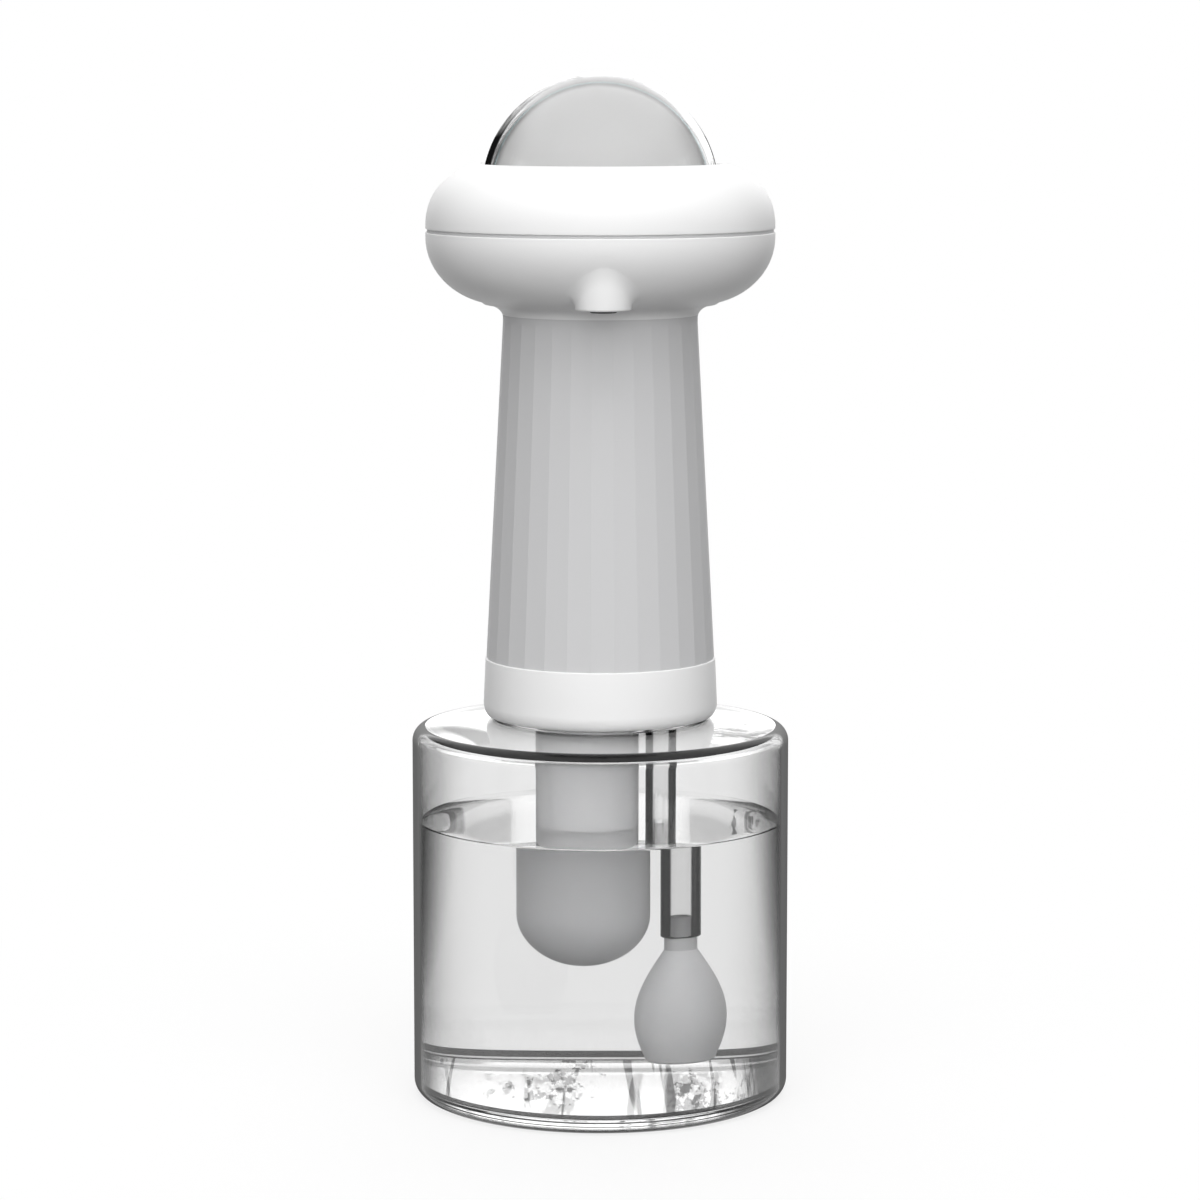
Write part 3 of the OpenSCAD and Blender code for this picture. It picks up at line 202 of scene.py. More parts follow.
@dataclass(frozen=True)
class Clear:
    """A clear finish: polished plastic, silicone or liquid that light goes through.

    edge_tint_and_shade gives the colour by how edge-on the surface is seen, from 0 (face on) to 1: a real tint for the
    dome's acrylic, painted shade for the tank's and the hose's walls, and painted reflection for the dome's face. rim
    is a dark matt tone, painted shade on the tank and painted reflection on the dome, that takes the light's place
    where the surface is seen more edge-on than rim_start, fully from rim_end. rim_lean moves both by so much per metre
    to the right. The rim fades out over rim_fade up to rim_top, both in metres.
    """

    name: str
    colour: str
    ior: float
    waviness: float = 0.0
    edge_tint_and_shade: tuple[tuple[float, str], ...] = ()
    rim: str = ""
    rim_start: float = 0.7
    rim_end: float = 0.8
    rim_lean: float = 0.0
    rim_top: float = 1.0
    rim_fade: float = 0.018
    wave_mm: float = 14.0

    def material(self) -> bpy.types.Material:
        """Builds the node material.

        Returns:
            The material, made once and then shared.
        """
        if self.name in bpy.data.materials:
            return bpy.data.materials[self.name]
        made, tree, shader = fresh_material(self.name)
        shader.inputs["Base Color"].default_value = linear_rgba(self.colour)
        shader.inputs["Roughness"].default_value = 0.0
        shader.inputs["IOR"].default_value = self.ior
        shader.inputs["Transmission Weight"].default_value = 1.0
        if self.waviness:
            # A moulded wall is never quite flat, which bends the reflections in it
            place = add_node(tree, "ShaderNodeTexCoord").outputs["Object"]
            wave = add_node(tree, "ShaderNodeTexNoise", {"Scale": 1 / (self.wave_mm * MM), "Detail": 1.0},
                            {"Vector": place})
            bump = add_node(tree, "ShaderNodeBump", {"Strength": 0.4, "Distance": self.waviness * MM},
                            {"Height": wave.outputs["Fac"]})
            tree.links.new(bump.outputs["Normal"], shader.inputs["Normal"])
        if self.edge_tint_and_shade:
            self._add_edge_tint_and_shade(tree, shader)
        return made

    def _add_edge_tint_and_shade(self, tree: bpy.types.NodeTree, shader: bpy.types.Node) -> None:
        """Colours the surface by how edge-on it is seen, with the tint, painted shade and painted reflection that the
        finish gives.

        Args:
            tree: The material's node tree.
            shader: The principled shader.
        """
        facing = add_node(tree, "ShaderNodeLayerWeight", {"Blend": 0.5}).outputs["Facing"]
        ramp = add_node(tree, "ShaderNodeValToRGB", links={"Fac": facing})
        ramp.color_ramp.interpolation = "EASE"
        for i, (edge_on, colour) in enumerate(self.edge_tint_and_shade):
            stop = ramp.color_ramp.elements[i] if i < 2 else ramp.color_ramp.elements.new(edge_on)
            stop.position, stop.color = edge_on, linear_rgba(colour)
        if not self.rim:
            tree.links.new(ramp.outputs["Color"], shader.inputs["Base Color"])
            return
        # Painted shade and painted reflection: a dark matt rim tone replaces the colour where the surface is seen
        # edge-on, shifted along x and faded out by height
        place = add_node(tree, "ShaderNodeTexCoord").outputs["Object"]
        x, _, z = add_node(tree, "ShaderNodeSeparateXYZ", links={0: place}).outputs
        shift = add_node(tree, "ShaderNodeMath", {1: -self.rim_lean, 2: 0.0}, {0: x}, operation="MULTIPLY_ADD")
        tree.links.new(facing, shift.inputs[2])
        share = add_node(tree, "ShaderNodeMapRange", {"From Min": self.rim_start, "From Max": self.rim_end},
                         {"Value": shift.outputs[0]}, interpolation_type="SMOOTHSTEP")
        fade = add_node(tree, "ShaderNodeMapRange",
                        {"From Min": self.rim_top - self.rim_fade, "From Max": self.rim_top, "To Min": 1.0,
                         "To Max": 0.0},
                        {"Value": z}, interpolation_type="SMOOTHSTEP")
        share = add_node(tree, "ShaderNodeMath", links={0: share.outputs[0], 1: fade.outputs[0]},
                         operation="MULTIPLY").outputs[0]
        tone = add_node(tree, "ShaderNodeMix", {7: linear_rgba(self.rim)}, {0: share, 6: ramp.outputs["Color"]},
                        data_type="RGBA")
        tree.links.new(tone.outputs[2], shader.inputs["Base Color"])
        # Where the painted rim shows, the surface lets no light through and mirrors less, so the painted tone stays
        # matt
        for name, full in (("Transmission Weight", 1.0), ("Specular IOR Level", 0.5)):
            left = add_node(tree, "ShaderNodeMapRange", {"To Min": full, "To Max": 0.0}, {"Value": share})
            tree.links.new(left.outputs[0], shader.inputs[name])


# Moulded ABS with a fine spark-eroded face: the eye sees a soft, even white with a broad sheen
WHITE_ABS = Finish("moulded_white_abs", "#F1F1F1", 0.42, grain_mm=0.45, relief=0.012, drift=0.006)
# The same resin in light grey, a little flatter, so every facet keeps one even tone
GREY_ABS = Finish("moulded_light_grey_abs", "#CFCFD0", 0.46, grain_mm=0.4, relief=0.012, drift=0.008)
# Mid grey ABS of the wet pod: even, with a low sheen
POD_ABS = Finish("moulded_mid_grey_abs", "#D2D2D3", 0.5, grain_mm=0.4, relief=0.01, drift=0.012)
# Sintered polyethylene: grains fused together give a dry, sandy grey; drawn at 0.6 mm so that it shows
SINTERED_PE = Finish("sintered_grey_polyethylene", "#E6E6E7", 0.62, Grain.SINTERED, 0.6, 0.05, 0.02, 1.51)
# Natural acetal of the pump parts: waxy off-white
ACETAL = Finish("machined_natural_acetal", "#E6E5E0", 0.38, grain_mm=0.6, drift=0.015, ior=1.48)
# Glass-filled nylon of the frames: near black, with a dull, slightly fibrous skin
NYLON = Finish("glass_filled_black_nylon", "#2A2B2D", 0.55, grain_mm=0.7, relief=0.03, drift=0.08)
# Grey silicone: dull, faintly dusty
SILICONE = Finish("moulded_grey_silicone", "#CFCFD0", 0.55, grain_mm=0.8, drift=0.02, ior=1.41)
# Nitrile rubber of o-ring, cups and nozzle: dark and dull
NITRILE = Finish("moulded_dark_nitrile", "#3A3B3D", 0.6, grain_mm=0.6, drift=0.05)
# Zinc-plated or stainless steel, brushed or drawn
STEEL = Finish("drawn_stainless_steel", "#C4C5C7", 0.3, Grain.BRUSHED, 0.25, 0.01, 0.03, metallic=1.0)
# Solder mask on glass fibre: glossy green with the weave's faint relief
BOARD_MASK = Finish("green_solder_mask", "#1F6B43", 0.28, grain_mm=0.9, relief=0.01, drift=0.06, coat=0.4)
# Heat-shrunk PVC wrap on the cell: glossy blue
CELL_WRAP = Finish("shrunk_blue_wrap", "#3F6FA6", 0.25, Grain.POLISHED, 2.0, 0.01, 0.02, coat=0.3)
# Yellow phosphor over the lamp chips
PHOSPHOR = Finish("lamp_phosphor", "#EADB9A", 0.5, grain_mm=0.3, drift=0.03)
# Opal acrylic of the inner dome: a soft gloss, and a painted glow over a darker grey that evens its shading to a
# cool pale grey
OPAL_ACRYLIC_GLOW = Finish("frosted_opal_acrylic_painted_glow", "#7C7C7C", 0.45, Grain.POLISHED, 1.5, 0.004, 0.004, 1.49,
                      lit="#AAAAAA")
# Polished clear plastic of the tank: faint grey in depth, mirror-like faces
CLEAR_TANK = Clear("polished_clear_tank", "#FAFAFA", 1.5, 0.012)
# The tank's outer face again, with painted shade: its colour darkens where the eye looks along the wall, and a
# grey matt rim is painted near its edge in place of the light
TANK_WALL_SHADE = Clear("polished_clear_tank_wall_painted_shade", "#FAFAFA", 1.5, 0.0, ((0.2, "#FAFAFA"), (0.74, "#7C7C7C")),
                  "#878787", 0.66, 0.76)
# The tank's low edges, with painted shade: a near-black tint stands in for the light from the ground that is lost
# in them
TANK_EDGE_SHADE = Clear("polished_clear_tank_edge_painted_shade", "#161616", 1.5)
# Polished clear acrylic of the dome: colourless face on, faintly blue-green seen along its wall
CLEAR_ACRYLIC = Clear("polished_clear_acrylic", "#FAFAFA", 1.49, 0.0, ((0.72, "#FAFAFA"), (0.95, "#A6E6EE")))
# The dome's outer face again, with painted reflection: bands of the dark room are painted into its colour near
# its rim, with a near-black matt rim painted darkest on its left side
DOME_WALL_REFLECTION = Clear("polished_clear_acrylic_painted_reflection", "#FAFAFA", 1.49, 0.0,
                  ((0.5, "#FAFAFA"), (0.58, "#9A9A9A"), (0.7, "#B4B4B4"), (0.84, "#EAEAEA")),
                  "#161616", 0.75, 0.8, 4.0, 0.232)
# Clear silicone of the hose: colourless, with a wet gloss
CLEAR_SILICONE = Clear("clear_silicone", "#F4F4F4", 1.41)
# The hose's outer face again, with painted shade: two near-black bands are painted beside the bore, where the
# thick wall is seen edge-on
HOSE_WALL_SHADE = Clear("clear_silicone_painted_wall_shade", "#F4F4F4", 1.41, 0.0, ((0.11, "#F4F4F4"), (0.17, "#040404")))
# Thin soap solution: as clear as water
SOAP_WATER = Clear("soap_water", "#FAFAFA", 1.33)


def arc(cx: float, cy: float, rx: float, ry: float, start: float, end: float, steps: int = 16) -> np.ndarray:
    """Points on an ellipse's arc: centre plus (rx cos a, ry sin a), for a from start to end in degrees.

    Args:
        cx: Centre's first coordinate.
        cy: Centre's second coordinate.
        rx: Half axis along the first coordinate.
        ry: Half axis along the second coordinate.
        start: First angle in degrees.
        end: Last angle in degrees.
        steps: Number of steps.

    Returns:
        Array of steps + 1 points.
    """
    a = np.radians(np.linspace(start, end, steps + 1))
    return np.stack([cx + rx * np.cos(a), cy + ry * np.sin(a)], axis=1)


def eased(bends: list[tuple[float, float, float]], steps: int = 5, closed: bool = True) -> np.ndarray:
    """A polyline through bends, each replaced by a round arc of its own radius.

    The arc touches both sides at radius / tan(half the angle between them) from the bend.

    Args:
        bends: (x, y, radius) of each bend, in order.
        steps: Steps in each arc.
        closed: Whether the last bend joins the first.

    Returns:
        Array of points.
    """
    points = np.array([bend[:2] for bend in bends], float)
    parts = []
    count = len(bends)
    for i, (_, _, radius) in enumerate(bends):
        if radius <= 0 or (not closed and i in (0, count - 1)):
            parts.append(points[i:i + 1])
            continue
        here, before, after = points[i], points[i - 1], points[(i + 1) % count]
        u = (before - here) / np.linalg.norm(before - here)
        v = (after - here) / np.linalg.norm(after - here)
        half = 0.5 * math.acos(float(np.clip(u @ v, -1, 1)))
        reach = radius / math.tan(half)
        middle = (u + v) / np.linalg.norm(u + v)
        centre = here + middle * (radius / math.sin(half))
        first, last = here + u * reach - centre, here + v * reach - centre
        t = np.linspace(0, 1, steps + 1)[:, None]
        sweep = math.pi - 2 * half
        parts.append(centre + (np.sin((1 - t) * sweep) * first + np.sin(t * sweep) * last) / math.sin(sweep))
    return np.concatenate(parts)


def grid_faces(rows: int, cols: int, wrap_rows: bool, wrap_cols: bool) -> np.ndarray:
    """Quads between neighbouring rows and columns of a grid of points numbered row by row.

    Args:
        rows: Number of rows.
        cols: Number of columns.
        wrap_rows: Whether the last row joins the first.
        wrap_cols: Whether the last column joins the first.

    Returns:
        Array of quads.
    """
    r = np.arange(rows if wrap_rows else rows - 1)[:, None]
    c = np.arange(cols if wrap_cols else cols - 1)[None, :]
    r2, c2 = (r + 1) % rows, (c + 1) % cols
    return np.stack([r * cols + c, r * cols + c2, r2 * cols + c2, r2 * cols + c], axis=-1).reshape(-1, 4)


def new_piece(name: str, points: np.ndarray, faces: np.ndarray | list, sharp: float = 32.0) -> bpy.types.Object:
    """Makes an object at the origin from points in millimetres.

    Faces whose corners fall together, as at a pole, lose the repeated corner.

    Args:
        name: The piece's name.
        points: Array of points.
        faces: Array or list of faces as point numbers.
        sharp: Angle in degrees past which an edge is shown sharp.

    Returns:
        The object, linked to the scene, with its normals outwards.
    """
    mesh = bpy.data.meshes.new(name)
    listed = faces.tolist() if isinstance(faces, np.ndarray) else faces
    mesh.from_pydata((points * MM).tolist(), [], listed)
    made = bpy.data.objects.new(name, mesh)
    bpy.context.scene.collection.objects.link(made)
    tidy_mesh(mesh, sharp)
    return made


def tidy_mesh(mesh: bpy.types.Mesh, sharp: float, merge: float = 0.0004) -> None:
    """Merges doubles, turns all faces outwards, and shades smooth up to an angle.

    Args:
        mesh: The mesh.
        sharp: Angle in degrees past which an edge is shown sharp.
        merge: Distance in millimetres under which points are merged.
    """
    work = bmesh.new()
    work.from_mesh(mesh)
    bmesh.ops.remove_doubles(work, verts=work.verts, dist=merge * MM)
    bmesh.ops.dissolve_degenerate(work, edges=work.edges, dist=merge * MM * 0.5)
    bmesh.ops.recalc_face_normals(work, faces=work.faces)
    work.to_mesh(mesh)
    work.free()
    mesh.polygons.foreach_set("use_smooth", np.ones(len(mesh.polygons), bool))
    mesh.set_sharp_from_angle(angle=math.radians(sharp))
    mesh.update()


def lathe(name: str, profile: np.ndarray, closed: bool = True, steps: int = 160,
          centre: tuple[float, float] = (0.0, 0.0), sharp: float = 32.0) -> bpy.types.Object:
    """Turns a profile of (radius, height) round a vertical axis: x = r cos a, y = r sin a, z = height.

    Args:
        name: The piece's name.
        profile: Array of (radius, height) in millimetres.
        closed: Whether the profile is a loop; if not, its ends lie on the axis.
        steps: Steps round the axis.
        centre: Where the axis stands.
        sharp: Angle in degrees past which an edge is shown sharp.

    Returns:
        The object.
    """
    a = np.linspace(0, TURN, steps, endpoint=False)
    radius, height = profile[:, 0][:, None], profile[:, 1][:, None]
    points = np.stack([centre[0] + radius * np.cos(a), centre[1] + radius * np.sin(a),
                       np.broadcast_to(height, (len(profile), steps))], axis=-1).reshape(-1, 3)
    return new_piece(name, points, grid_faces(len(profile), steps, closed, True), sharp)


def swept_tube(name: str, path: np.ndarray, outer: float, inner: float, sides: int = 32,
               lip: float = 0.15) -> bpy.types.Object:
    """A tube with a bore and eased ends along a path: each ring is path + r (cos a u + sin a v).

    The loop of (distance along, radius) goes up the outside, over the end, down the bore and back.

    Args:
        name: The piece's name.
        path: Array of points in millimetres.
        outer: Outside radius.
        inner: Bore radius.
        sides: Points in a ring.
        lip: Radius of the eased ends.

    Returns:
        The object.
    """
    forward = np.gradient(path, axis=0)
    forward /= np.linalg.norm(forward, axis=1, keepdims=True)
    side = np.empty_like(forward)
    guess = np.array([0.0, 1.0, 0.01])
    for i, t in enumerate(forward):
        guess = guess - t * (guess @ t)
        guess = guess / np.linalg.norm(guess)
        side[i] = guess
    other = np.cross(forward, side)
    last = len(path) - 1
    rows = np.concatenate([np.arange(last + 1), [last, last], np.arange(last, -1, -1), [0, 0]])
    radii = np.concatenate([np.full(last + 1, outer), [outer - lip, inner + lip], np.full(last + 1, inner),
                            [inner + lip, outer - lip]])
    radii[[0, last]] = outer
    slide = np.zeros(len(rows))
    slide[last + 1:last + 3] = lip
    slide[-2:] = -lip
    centre = path[rows] + forward[rows] * slide[:, None]
    a = np.linspace(0, TURN, sides, endpoint=False)
    points = (centre[:, None] + radii[:, None, None] * (np.cos(a)[None, :, None] * side[rows][:, None]
                                                        + np.sin(a)[None, :, None] * other[rows][:, None]))
    return new_piece(name, points.reshape(-1, 3), grid_faces(len(rows), sides, True, True))


def dress(piece: bpy.types.Object, finish: Finish | Clear, body: str, slot: str, *nodes: str) -> bpy.types.Object:
    """Gives a piece its finish and body, and hides the solids that it stands for.

    Args:
        piece: The object.
        finish: Its finish.
        body: The body that it rides on.
        slot: The record's material slot; it is not used.
        nodes: The solids that it replaces.

    Returns:
        The object.
    """
    piece.data.materials.clear()
    piece.data.materials.append(finish.material())
    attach(piece, body)
    if nodes:
        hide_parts(*nodes)
    LOG.info("%s rides on %s in %s, for %s", piece.name, body, finish.name, ", ".join(nodes) or "no solid")
    return piece


def repaint(piece: bpy.types.Object, finish: Finish | Clear, chosen: np.ndarray) -> None:
    """Gives some of a piece's faces another finish.

    Args:
        piece: The object.
        finish: The finish of the chosen faces.
        chosen: One true or false for each face.
    """
    piece.data.materials.append(finish.material())
    slots = np.empty(len(piece.data.polygons), np.int32)
    piece.data.polygons.foreach_get("material_index", slots)
    slots[chosen] = len(piece.data.materials) - 1
    piece.data.polygons.foreach_set("material_index", slots)
    piece.data.update()


def apply_modifiers(piece: bpy.types.Object) -> None:
    """Applies all the modifiers of a piece to its mesh.

    Args:
        piece: The object.
    """
    graph = bpy.context.evaluated_depsgraph_get()
    done = bpy.data.meshes.new_from_object(piece.evaluated_get(graph))
    piece.modifiers.clear()
    piece.data = done


def face_places(piece: bpy.types.Object, centre: tuple[float, float] = (0.0, 0.0)) -> np.ndarray:
    """Where each face lies about a vertical axis, and which way it looks.

    Args:
        piece: The object.
        centre: Where the axis stands, in millimetres.

    Returns:
        Three rows: distance from the axis, height, and how far the normal points away from the axis.
    """
    count = len(piece.data.polygons)
    middle, normal = np.empty(count * 3), np.empty(count * 3)
    piece.data.polygons.foreach_get("center", middle)
    piece.data.polygons.foreach_get("normal", normal)
    middle, normal = middle.reshape(-1, 3) / MM, normal.reshape(-1, 3)
    arm = middle[:, :2] - np.array(centre)
    reach = np.linalg.norm(arm, axis=1)
    return np.stack([reach, middle[:, 2], np.einsum("ij,ij->i", arm, normal[:, :2]) / np.maximum(reach, MM)])


def dress_solid(node: str, finish: Finish | Clear) -> None:
    """Gives a solid that stays as it is its finish.

    Args:
        node: The solid's name.
        finish: Its finish.
    """
    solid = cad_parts[node]
    solid.data.materials.clear()
    solid.data.materials.append(finish.material())
    LOG.info("%s keeps its solid in %s", node, finish.name)


def smooth_copy(node: str, finish: Finish | Clear, body: str, slot: str, sharp: float = 30.0,
                bevel: float = 0.12) -> bpy.types.Object:
    """A copy of a solid, merged to one skin, shaded smooth, with softened edges.

    Args:
        node: The solid's name.
        finish: Its finish.
        body: The body that it rides on.
        slot: The record's material slot.
        sharp: Angle in degrees past which an edge is shown sharp.
        bevel: Width in millimetres of the softened edges.

    Returns:
        The copy, which replaces the solid.
    """
    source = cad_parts[node]
    copy = bpy.data.objects.new(node + "_piece", source.data.copy())
    bpy.context.scene.collection.objects.link(copy)
    tidy_mesh(copy.data, sharp, 0.002)
    if bevel:
        soft = copy.modifiers.new("soft_edges", "BEVEL")
        soft.width = bevel * MM
        soft.segments = 2
        soft.limit_method = "ANGLE"
        soft.angle_limit = math.radians(sharp)
        soft.harden_normals = True
    return dress(copy, finish, body, slot, node)


def corners(node: str) -> tuple[np.ndarray, np.ndarray]:
    """Lowest and highest corner of a solid, in millimetres."""
    low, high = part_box(node)
    return np.array(low) / MM, np.array(high) / MM


def centre_of(node: str) -> tuple[float, float]:
    """Where the middle of a solid stands, seen from above, in millimetres."""
    low, high = corners(node)
    return (low[0] + high[0]) / 2, (low[1] + high[1]) / 2


@dataclass
class Studio:
    """Camera, lamp, surroundings and floor. The camera stands as the photograph's did.

    The camera's and the floor's lengths are in millimetres; the lamp's, the clip's, and the reach of shadow and flags
    on the floor are in metres. Heights in the room are the z of a direction, flags stand at azimuths in radians, and
    tones are shares of white.
    """

    distance: float = 897.4
    height: float = 230.64
    azimuth: float = -1.2
    pitch: float = 7.563
    lens: float = 121.92
    sensor: float = 36.0
    clip: tuple[float, float] = (0.05, 50.0)
    shift_px: float = -0.35
    frame_px: float = 1200.0
    aim_height: float = 0.13
    lamp_place: tuple[float, float, float] = (0.0, -0.45, 1.15)
    lamp_side: float = 0.7
    lamp_watts: float = 4.9
    floor_half: float = 6000.0
    floor_drop: float = 0.02
    floor_seen: str = "#F4F4F4"
    floor_bounce: str = "#6A6A6A"
    floor_glow: float = 0.8
    shadow_near: float = 0.06
    shadow_far: float = 0.22
    flags_near: float = 0.045
    flags_far: float = 0.11
    room_base: float = 0.04
    room_sides: float = 2.05
    room_front: float = 0.5
    room_top: float = 0.4
    through_clear: float = 2.2
    behind_glass: float = 0.93
    belt_low: float = 0.05
    belt_rise: float = 0.02
    belt_high: float = 0.34
    belt_fall: float = 0.05
    bars: float = 9.0
    window_glow: float = 1.75
    bar_start: float = 0.6
    bar_full: float = 0.62
    bar_tone: float = 0.3
    leaf_full: float = 0.315
    leaf_start: float = 0.335
    leaf_tone: float = 0.15
    flags_low: float = 0.35
    flags_high: float = 0.75
    flag_tone: float = 0.06
    front_tone: float = 0.7
    high_flags: tuple[float, ...] = (-1.5, -1.1, -0.6, -0.42, 0.62, 0.85, 1.1, 1.5)
    low_flags: tuple[float, ...] = (-1.5, -1.1, -0.72, -0.4, 0.4, 0.72, 1.1, 1.5)

    def camera(self) -> None:
        """Sets the camera at the photograph's height, distance and angle."""
        data = bpy.data.cameras.new("studio_camera")
        data.lens = self.lens
        data.sensor_width = self.sensor
        data.shift_x = self.shift_px / self.frame_px
        data.clip_start, data.clip_end = self.clip
        made = bpy.data.objects.new("studio_camera", data)
        turn = math.radians(self.azimuth)
        made.location = (self.distance * MM * math.sin(turn), -self.distance * MM * math.cos(turn), self.height * MM)
        made.rotation_euler = (math.radians(90 - self.pitch), 0, turn)
        bpy.context.scene.collection.objects.link(made)
        bpy.context.scene.camera = made

    def lamp(self) -> None:
        """Hangs one soft lamp above and in front, which looks at the middle of the machine and shows in no gloss."""
        data = bpy.data.lights.new("top_lamp", "AREA")
        data.shape = "RECTANGLE"
        data.size = data.size_y = self.lamp_side
        data.energy = self.lamp_watts
        data.specular_factor = 0.0
        made = bpy.data.objects.new("top_lamp", data)
        made.visible_glossy = made.visible_transmission = False
        made.location = self.lamp_place
        aim = Vector((0, 0, self.aim_height)) - Vector(self.lamp_place)
        made.rotation_euler = aim.to_track_quat("-Z", "Y").to_euler()
        bpy.context.scene.collection.objects.link(made)

    def surroundings(self) -> None:
        """A white room: plain to the camera, brighter in front and above for matt faces, and for gloss and
        clear plastic with a belt of windows low behind and round the machine.
        """
        world = bpy.data.worlds.new("white_room")
        bpy.context.scene.world = world
        world.use_nodes = True
        tree = world.node_tree
        tree.nodes.clear()
        way = add_node(tree, "ShaderNodeSeparateXYZ",
                       links={0: add_node(tree, "ShaderNodeTexCoord").outputs["Generated"]})
        x, y, z = way.outputs
        path, clear = self._clear_rays(tree)
        # Light from the sides and from straight ahead: y squared, and the fourth power of -y
        deep = add_node(tree, "ShaderNodeMath", {1: 2.0}, {0: y}, operation="POWER")
        sides = add_node(tree, "ShaderNodeMath", {1: self.room_sides}, {0: deep.outputs[0]}, operation="MULTIPLY")
        ahead = add_node(tree, "ShaderNodeMapRange", {"From Min": 0.0, "From Max": -1.0}, {"Value": y})
        lobe = add_node(tree, "ShaderNodeMath", {1: 4.0}, {0: ahead.outputs[0]}, operation="POWER")
        front = add_node(tree, "ShaderNodeMath", {1: self.room_front, 2: 0.0}, {0: lobe.outputs[0]},
                         operation="MULTIPLY_ADD")
        tree.links.new(sides.outputs[0], front.inputs[2])
        top = add_node(tree, "ShaderNodeMapRange", {"To Min": self.room_base, "To Max": self.room_base + self.room_top},
                       {"Value": z})
        level = add_node(tree, "ShaderNodeMath", links={0: front.outputs[0], 1: top.outputs[0]}, operation="ADD")
        # The lamp's light stops at clear plastic, so the room makes up for it to what stands inside
        gain = add_node(tree, "ShaderNodeMapRange", {"To Min": 1.0, "To Max": self.through_clear},
                        {"Value": path.outputs["Is Transmission Ray"]})
        inside = add_node(tree, "ShaderNodeMath", links={0: level.outputs[0], 1: gain.outputs[0]},
                          operation="MULTIPLY")
        room = add_node(tree, "ShaderNodeBackground", {"Color": (1, 1, 1, 1)}, {"Strength": inside.outputs[0]})
        mirrored = add_node(tree, "ShaderNodeBackground", {"Strength": 1.0}, {"Color": self._windows(tree, x, y, z)})
        white = add_node(tree, "ShaderNodeBackground", {"Color": (1, 1, 1, 1), "Strength": 1.0})
        lit = add_node(tree, "ShaderNodeMixShader", links={0: clear, 1: room.outputs[0], 2: mirrored.outputs[0]})
        end = add_node(tree, "ShaderNodeMixShader",
                       links={0: path.outputs["Is Camera Ray"], 1: lit.outputs[0], 2: white.outputs[0]})
        add_node(tree, "ShaderNodeOutputWorld", links={"Surface": end.outputs[0]})

    def _clear_rays(self, tree: bpy.types.NodeTree) -> tuple[bpy.types.Node, bpy.types.NodeSocket]:
        """Finds the rays that gloss and clear plastic send out before any matt face is met.

        Args:
            tree: The node tree.

        Returns:
            The light path node, and a socket that is 1 for such rays.
        """
        path = add_node(tree, "ShaderNodeLightPath")
        kind = add_node(tree, "ShaderNodeMath", links={0: path.outputs["Is Glossy Ray"],
                                                       1: path.outputs["Is Transmission Ray"]}, operation="MAXIMUM")
        early = add_node(tree, "ShaderNodeMath", {1: 0.5}, {0: path.outputs["Diffuse Depth"]}, operation="LESS_THAN")
        both = add_node(tree, "ShaderNodeMath", links={0: kind.outputs[0], 1: early.outputs[0]}, operation="MULTIPLY")
        return path, both.outputs[0]

    def _flags(self, tree: bpy.types.NodeTree, x: bpy.types.NodeSocket, y: bpy.types.NodeSocket,
               turns: tuple[float, ...]) -> bpy.types.NodeSocket:
        """Dark flags on both sides, past the view behind the machine: they draw the edges of clear plastic.

        Args:
            tree: The node tree.
            x: The x of a direction or place.
            y: Its y.
            turns: Eight azimuths from straight behind, from left to right. Each flag takes four: it is dark
                between the middle two, and fades out over the outer ones.

        Returns:
            A socket that is 1 straight behind, less in front, and dark at the sides.
        """
        around = add_node(tree, "ShaderNodeMath", links={0: x, 1: y}, operation="ARCTAN2")
        share = add_node(tree, "ShaderNodeMath", {1: 1 / TURN, 2: 0.5}, {0: around.outputs[0]},
                         operation="MULTIPLY_ADD")
        ramp = add_node(tree, "ShaderNodeValToRGB", links={0: share.outputs[0]})
        stops = ramp.color_ramp.elements
        stops[0].position, stops[1].position = (0.5 + turn / TURN for turn in (turns[0], turns[-1]))
        stops[0].color = stops[1].color = (self.front_tone,) * 3 + (1,)
        dark = (self.flag_tone, self.flag_tone)
        for turn, tone in zip(turns[1:-1], (*dark, 1.0, 1.0, *dark)):
            stops.new(0.5 + turn / TURN).color = (tone, tone, tone, 1)
        return ramp.outputs["Color"]

    def _windows(self, tree: bpy.types.NodeTree, x: bpy.types.NodeSocket, y: bpy.types.NodeSocket,
                 z: bpy.types.NodeSocket) -> bpy.types.NodeSocket:
        """Colour of the room by direction: white with dark flags, and a belt above the horizon with windows.

        In the belt, frames stand at uneven steps of azimuth, with clumps of leaves before the brighter sky.

        Args:
            tree: The world's node tree.
            x: Direction's x.
            y: Direction's y.
            z: Direction's z.

        Returns:
            The colour socket.
        """
        around = add_node(tree, "ShaderNodeMath", links={0: x, 1: y}, operation="ARCTAN2")
        flat = add_node(tree, "ShaderNodeCombineXYZ", links={0: around.outputs[0], 1: z})
        upright = add_node(tree, "ShaderNodeMapping", {"Scale": (self.bars, 0.7, 1.0)}, {"Vector": flat.outputs[0]})
        uneven = add_node(tree, "ShaderNodeTexNoise", {"Scale": 1.6, "Detail": 2.0, "Roughness": 0.6},
                          {"Vector": upright.outputs[0]})
        bars = add_node(tree, "ShaderNodeMapRange",
                        {"From Min": self.bar_start, "From Max": self.bar_full, "To Min": self.window_glow,
                         "To Max": self.bar_tone},
                        {"Value": uneven.outputs["Fac"]})
        clump = add_node(tree, "ShaderNodeTexNoise", {"Scale": 3.4, "Detail": 0.0}, {"Vector": flat.outputs[0]})
        leaves = add_node(tree, "ShaderNodeTexNoise", {"Scale": 26.0, "Detail": 4.0, "Roughness": 0.7},
                          {"Vector": flat.outputs[0]})
        both = add_node(tree, "ShaderNodeMath", {2: 0.0}, {0: clump.outputs["Fac"], 1: leaves.outputs["Fac"]},
                        operation="MULTIPLY_ADD")
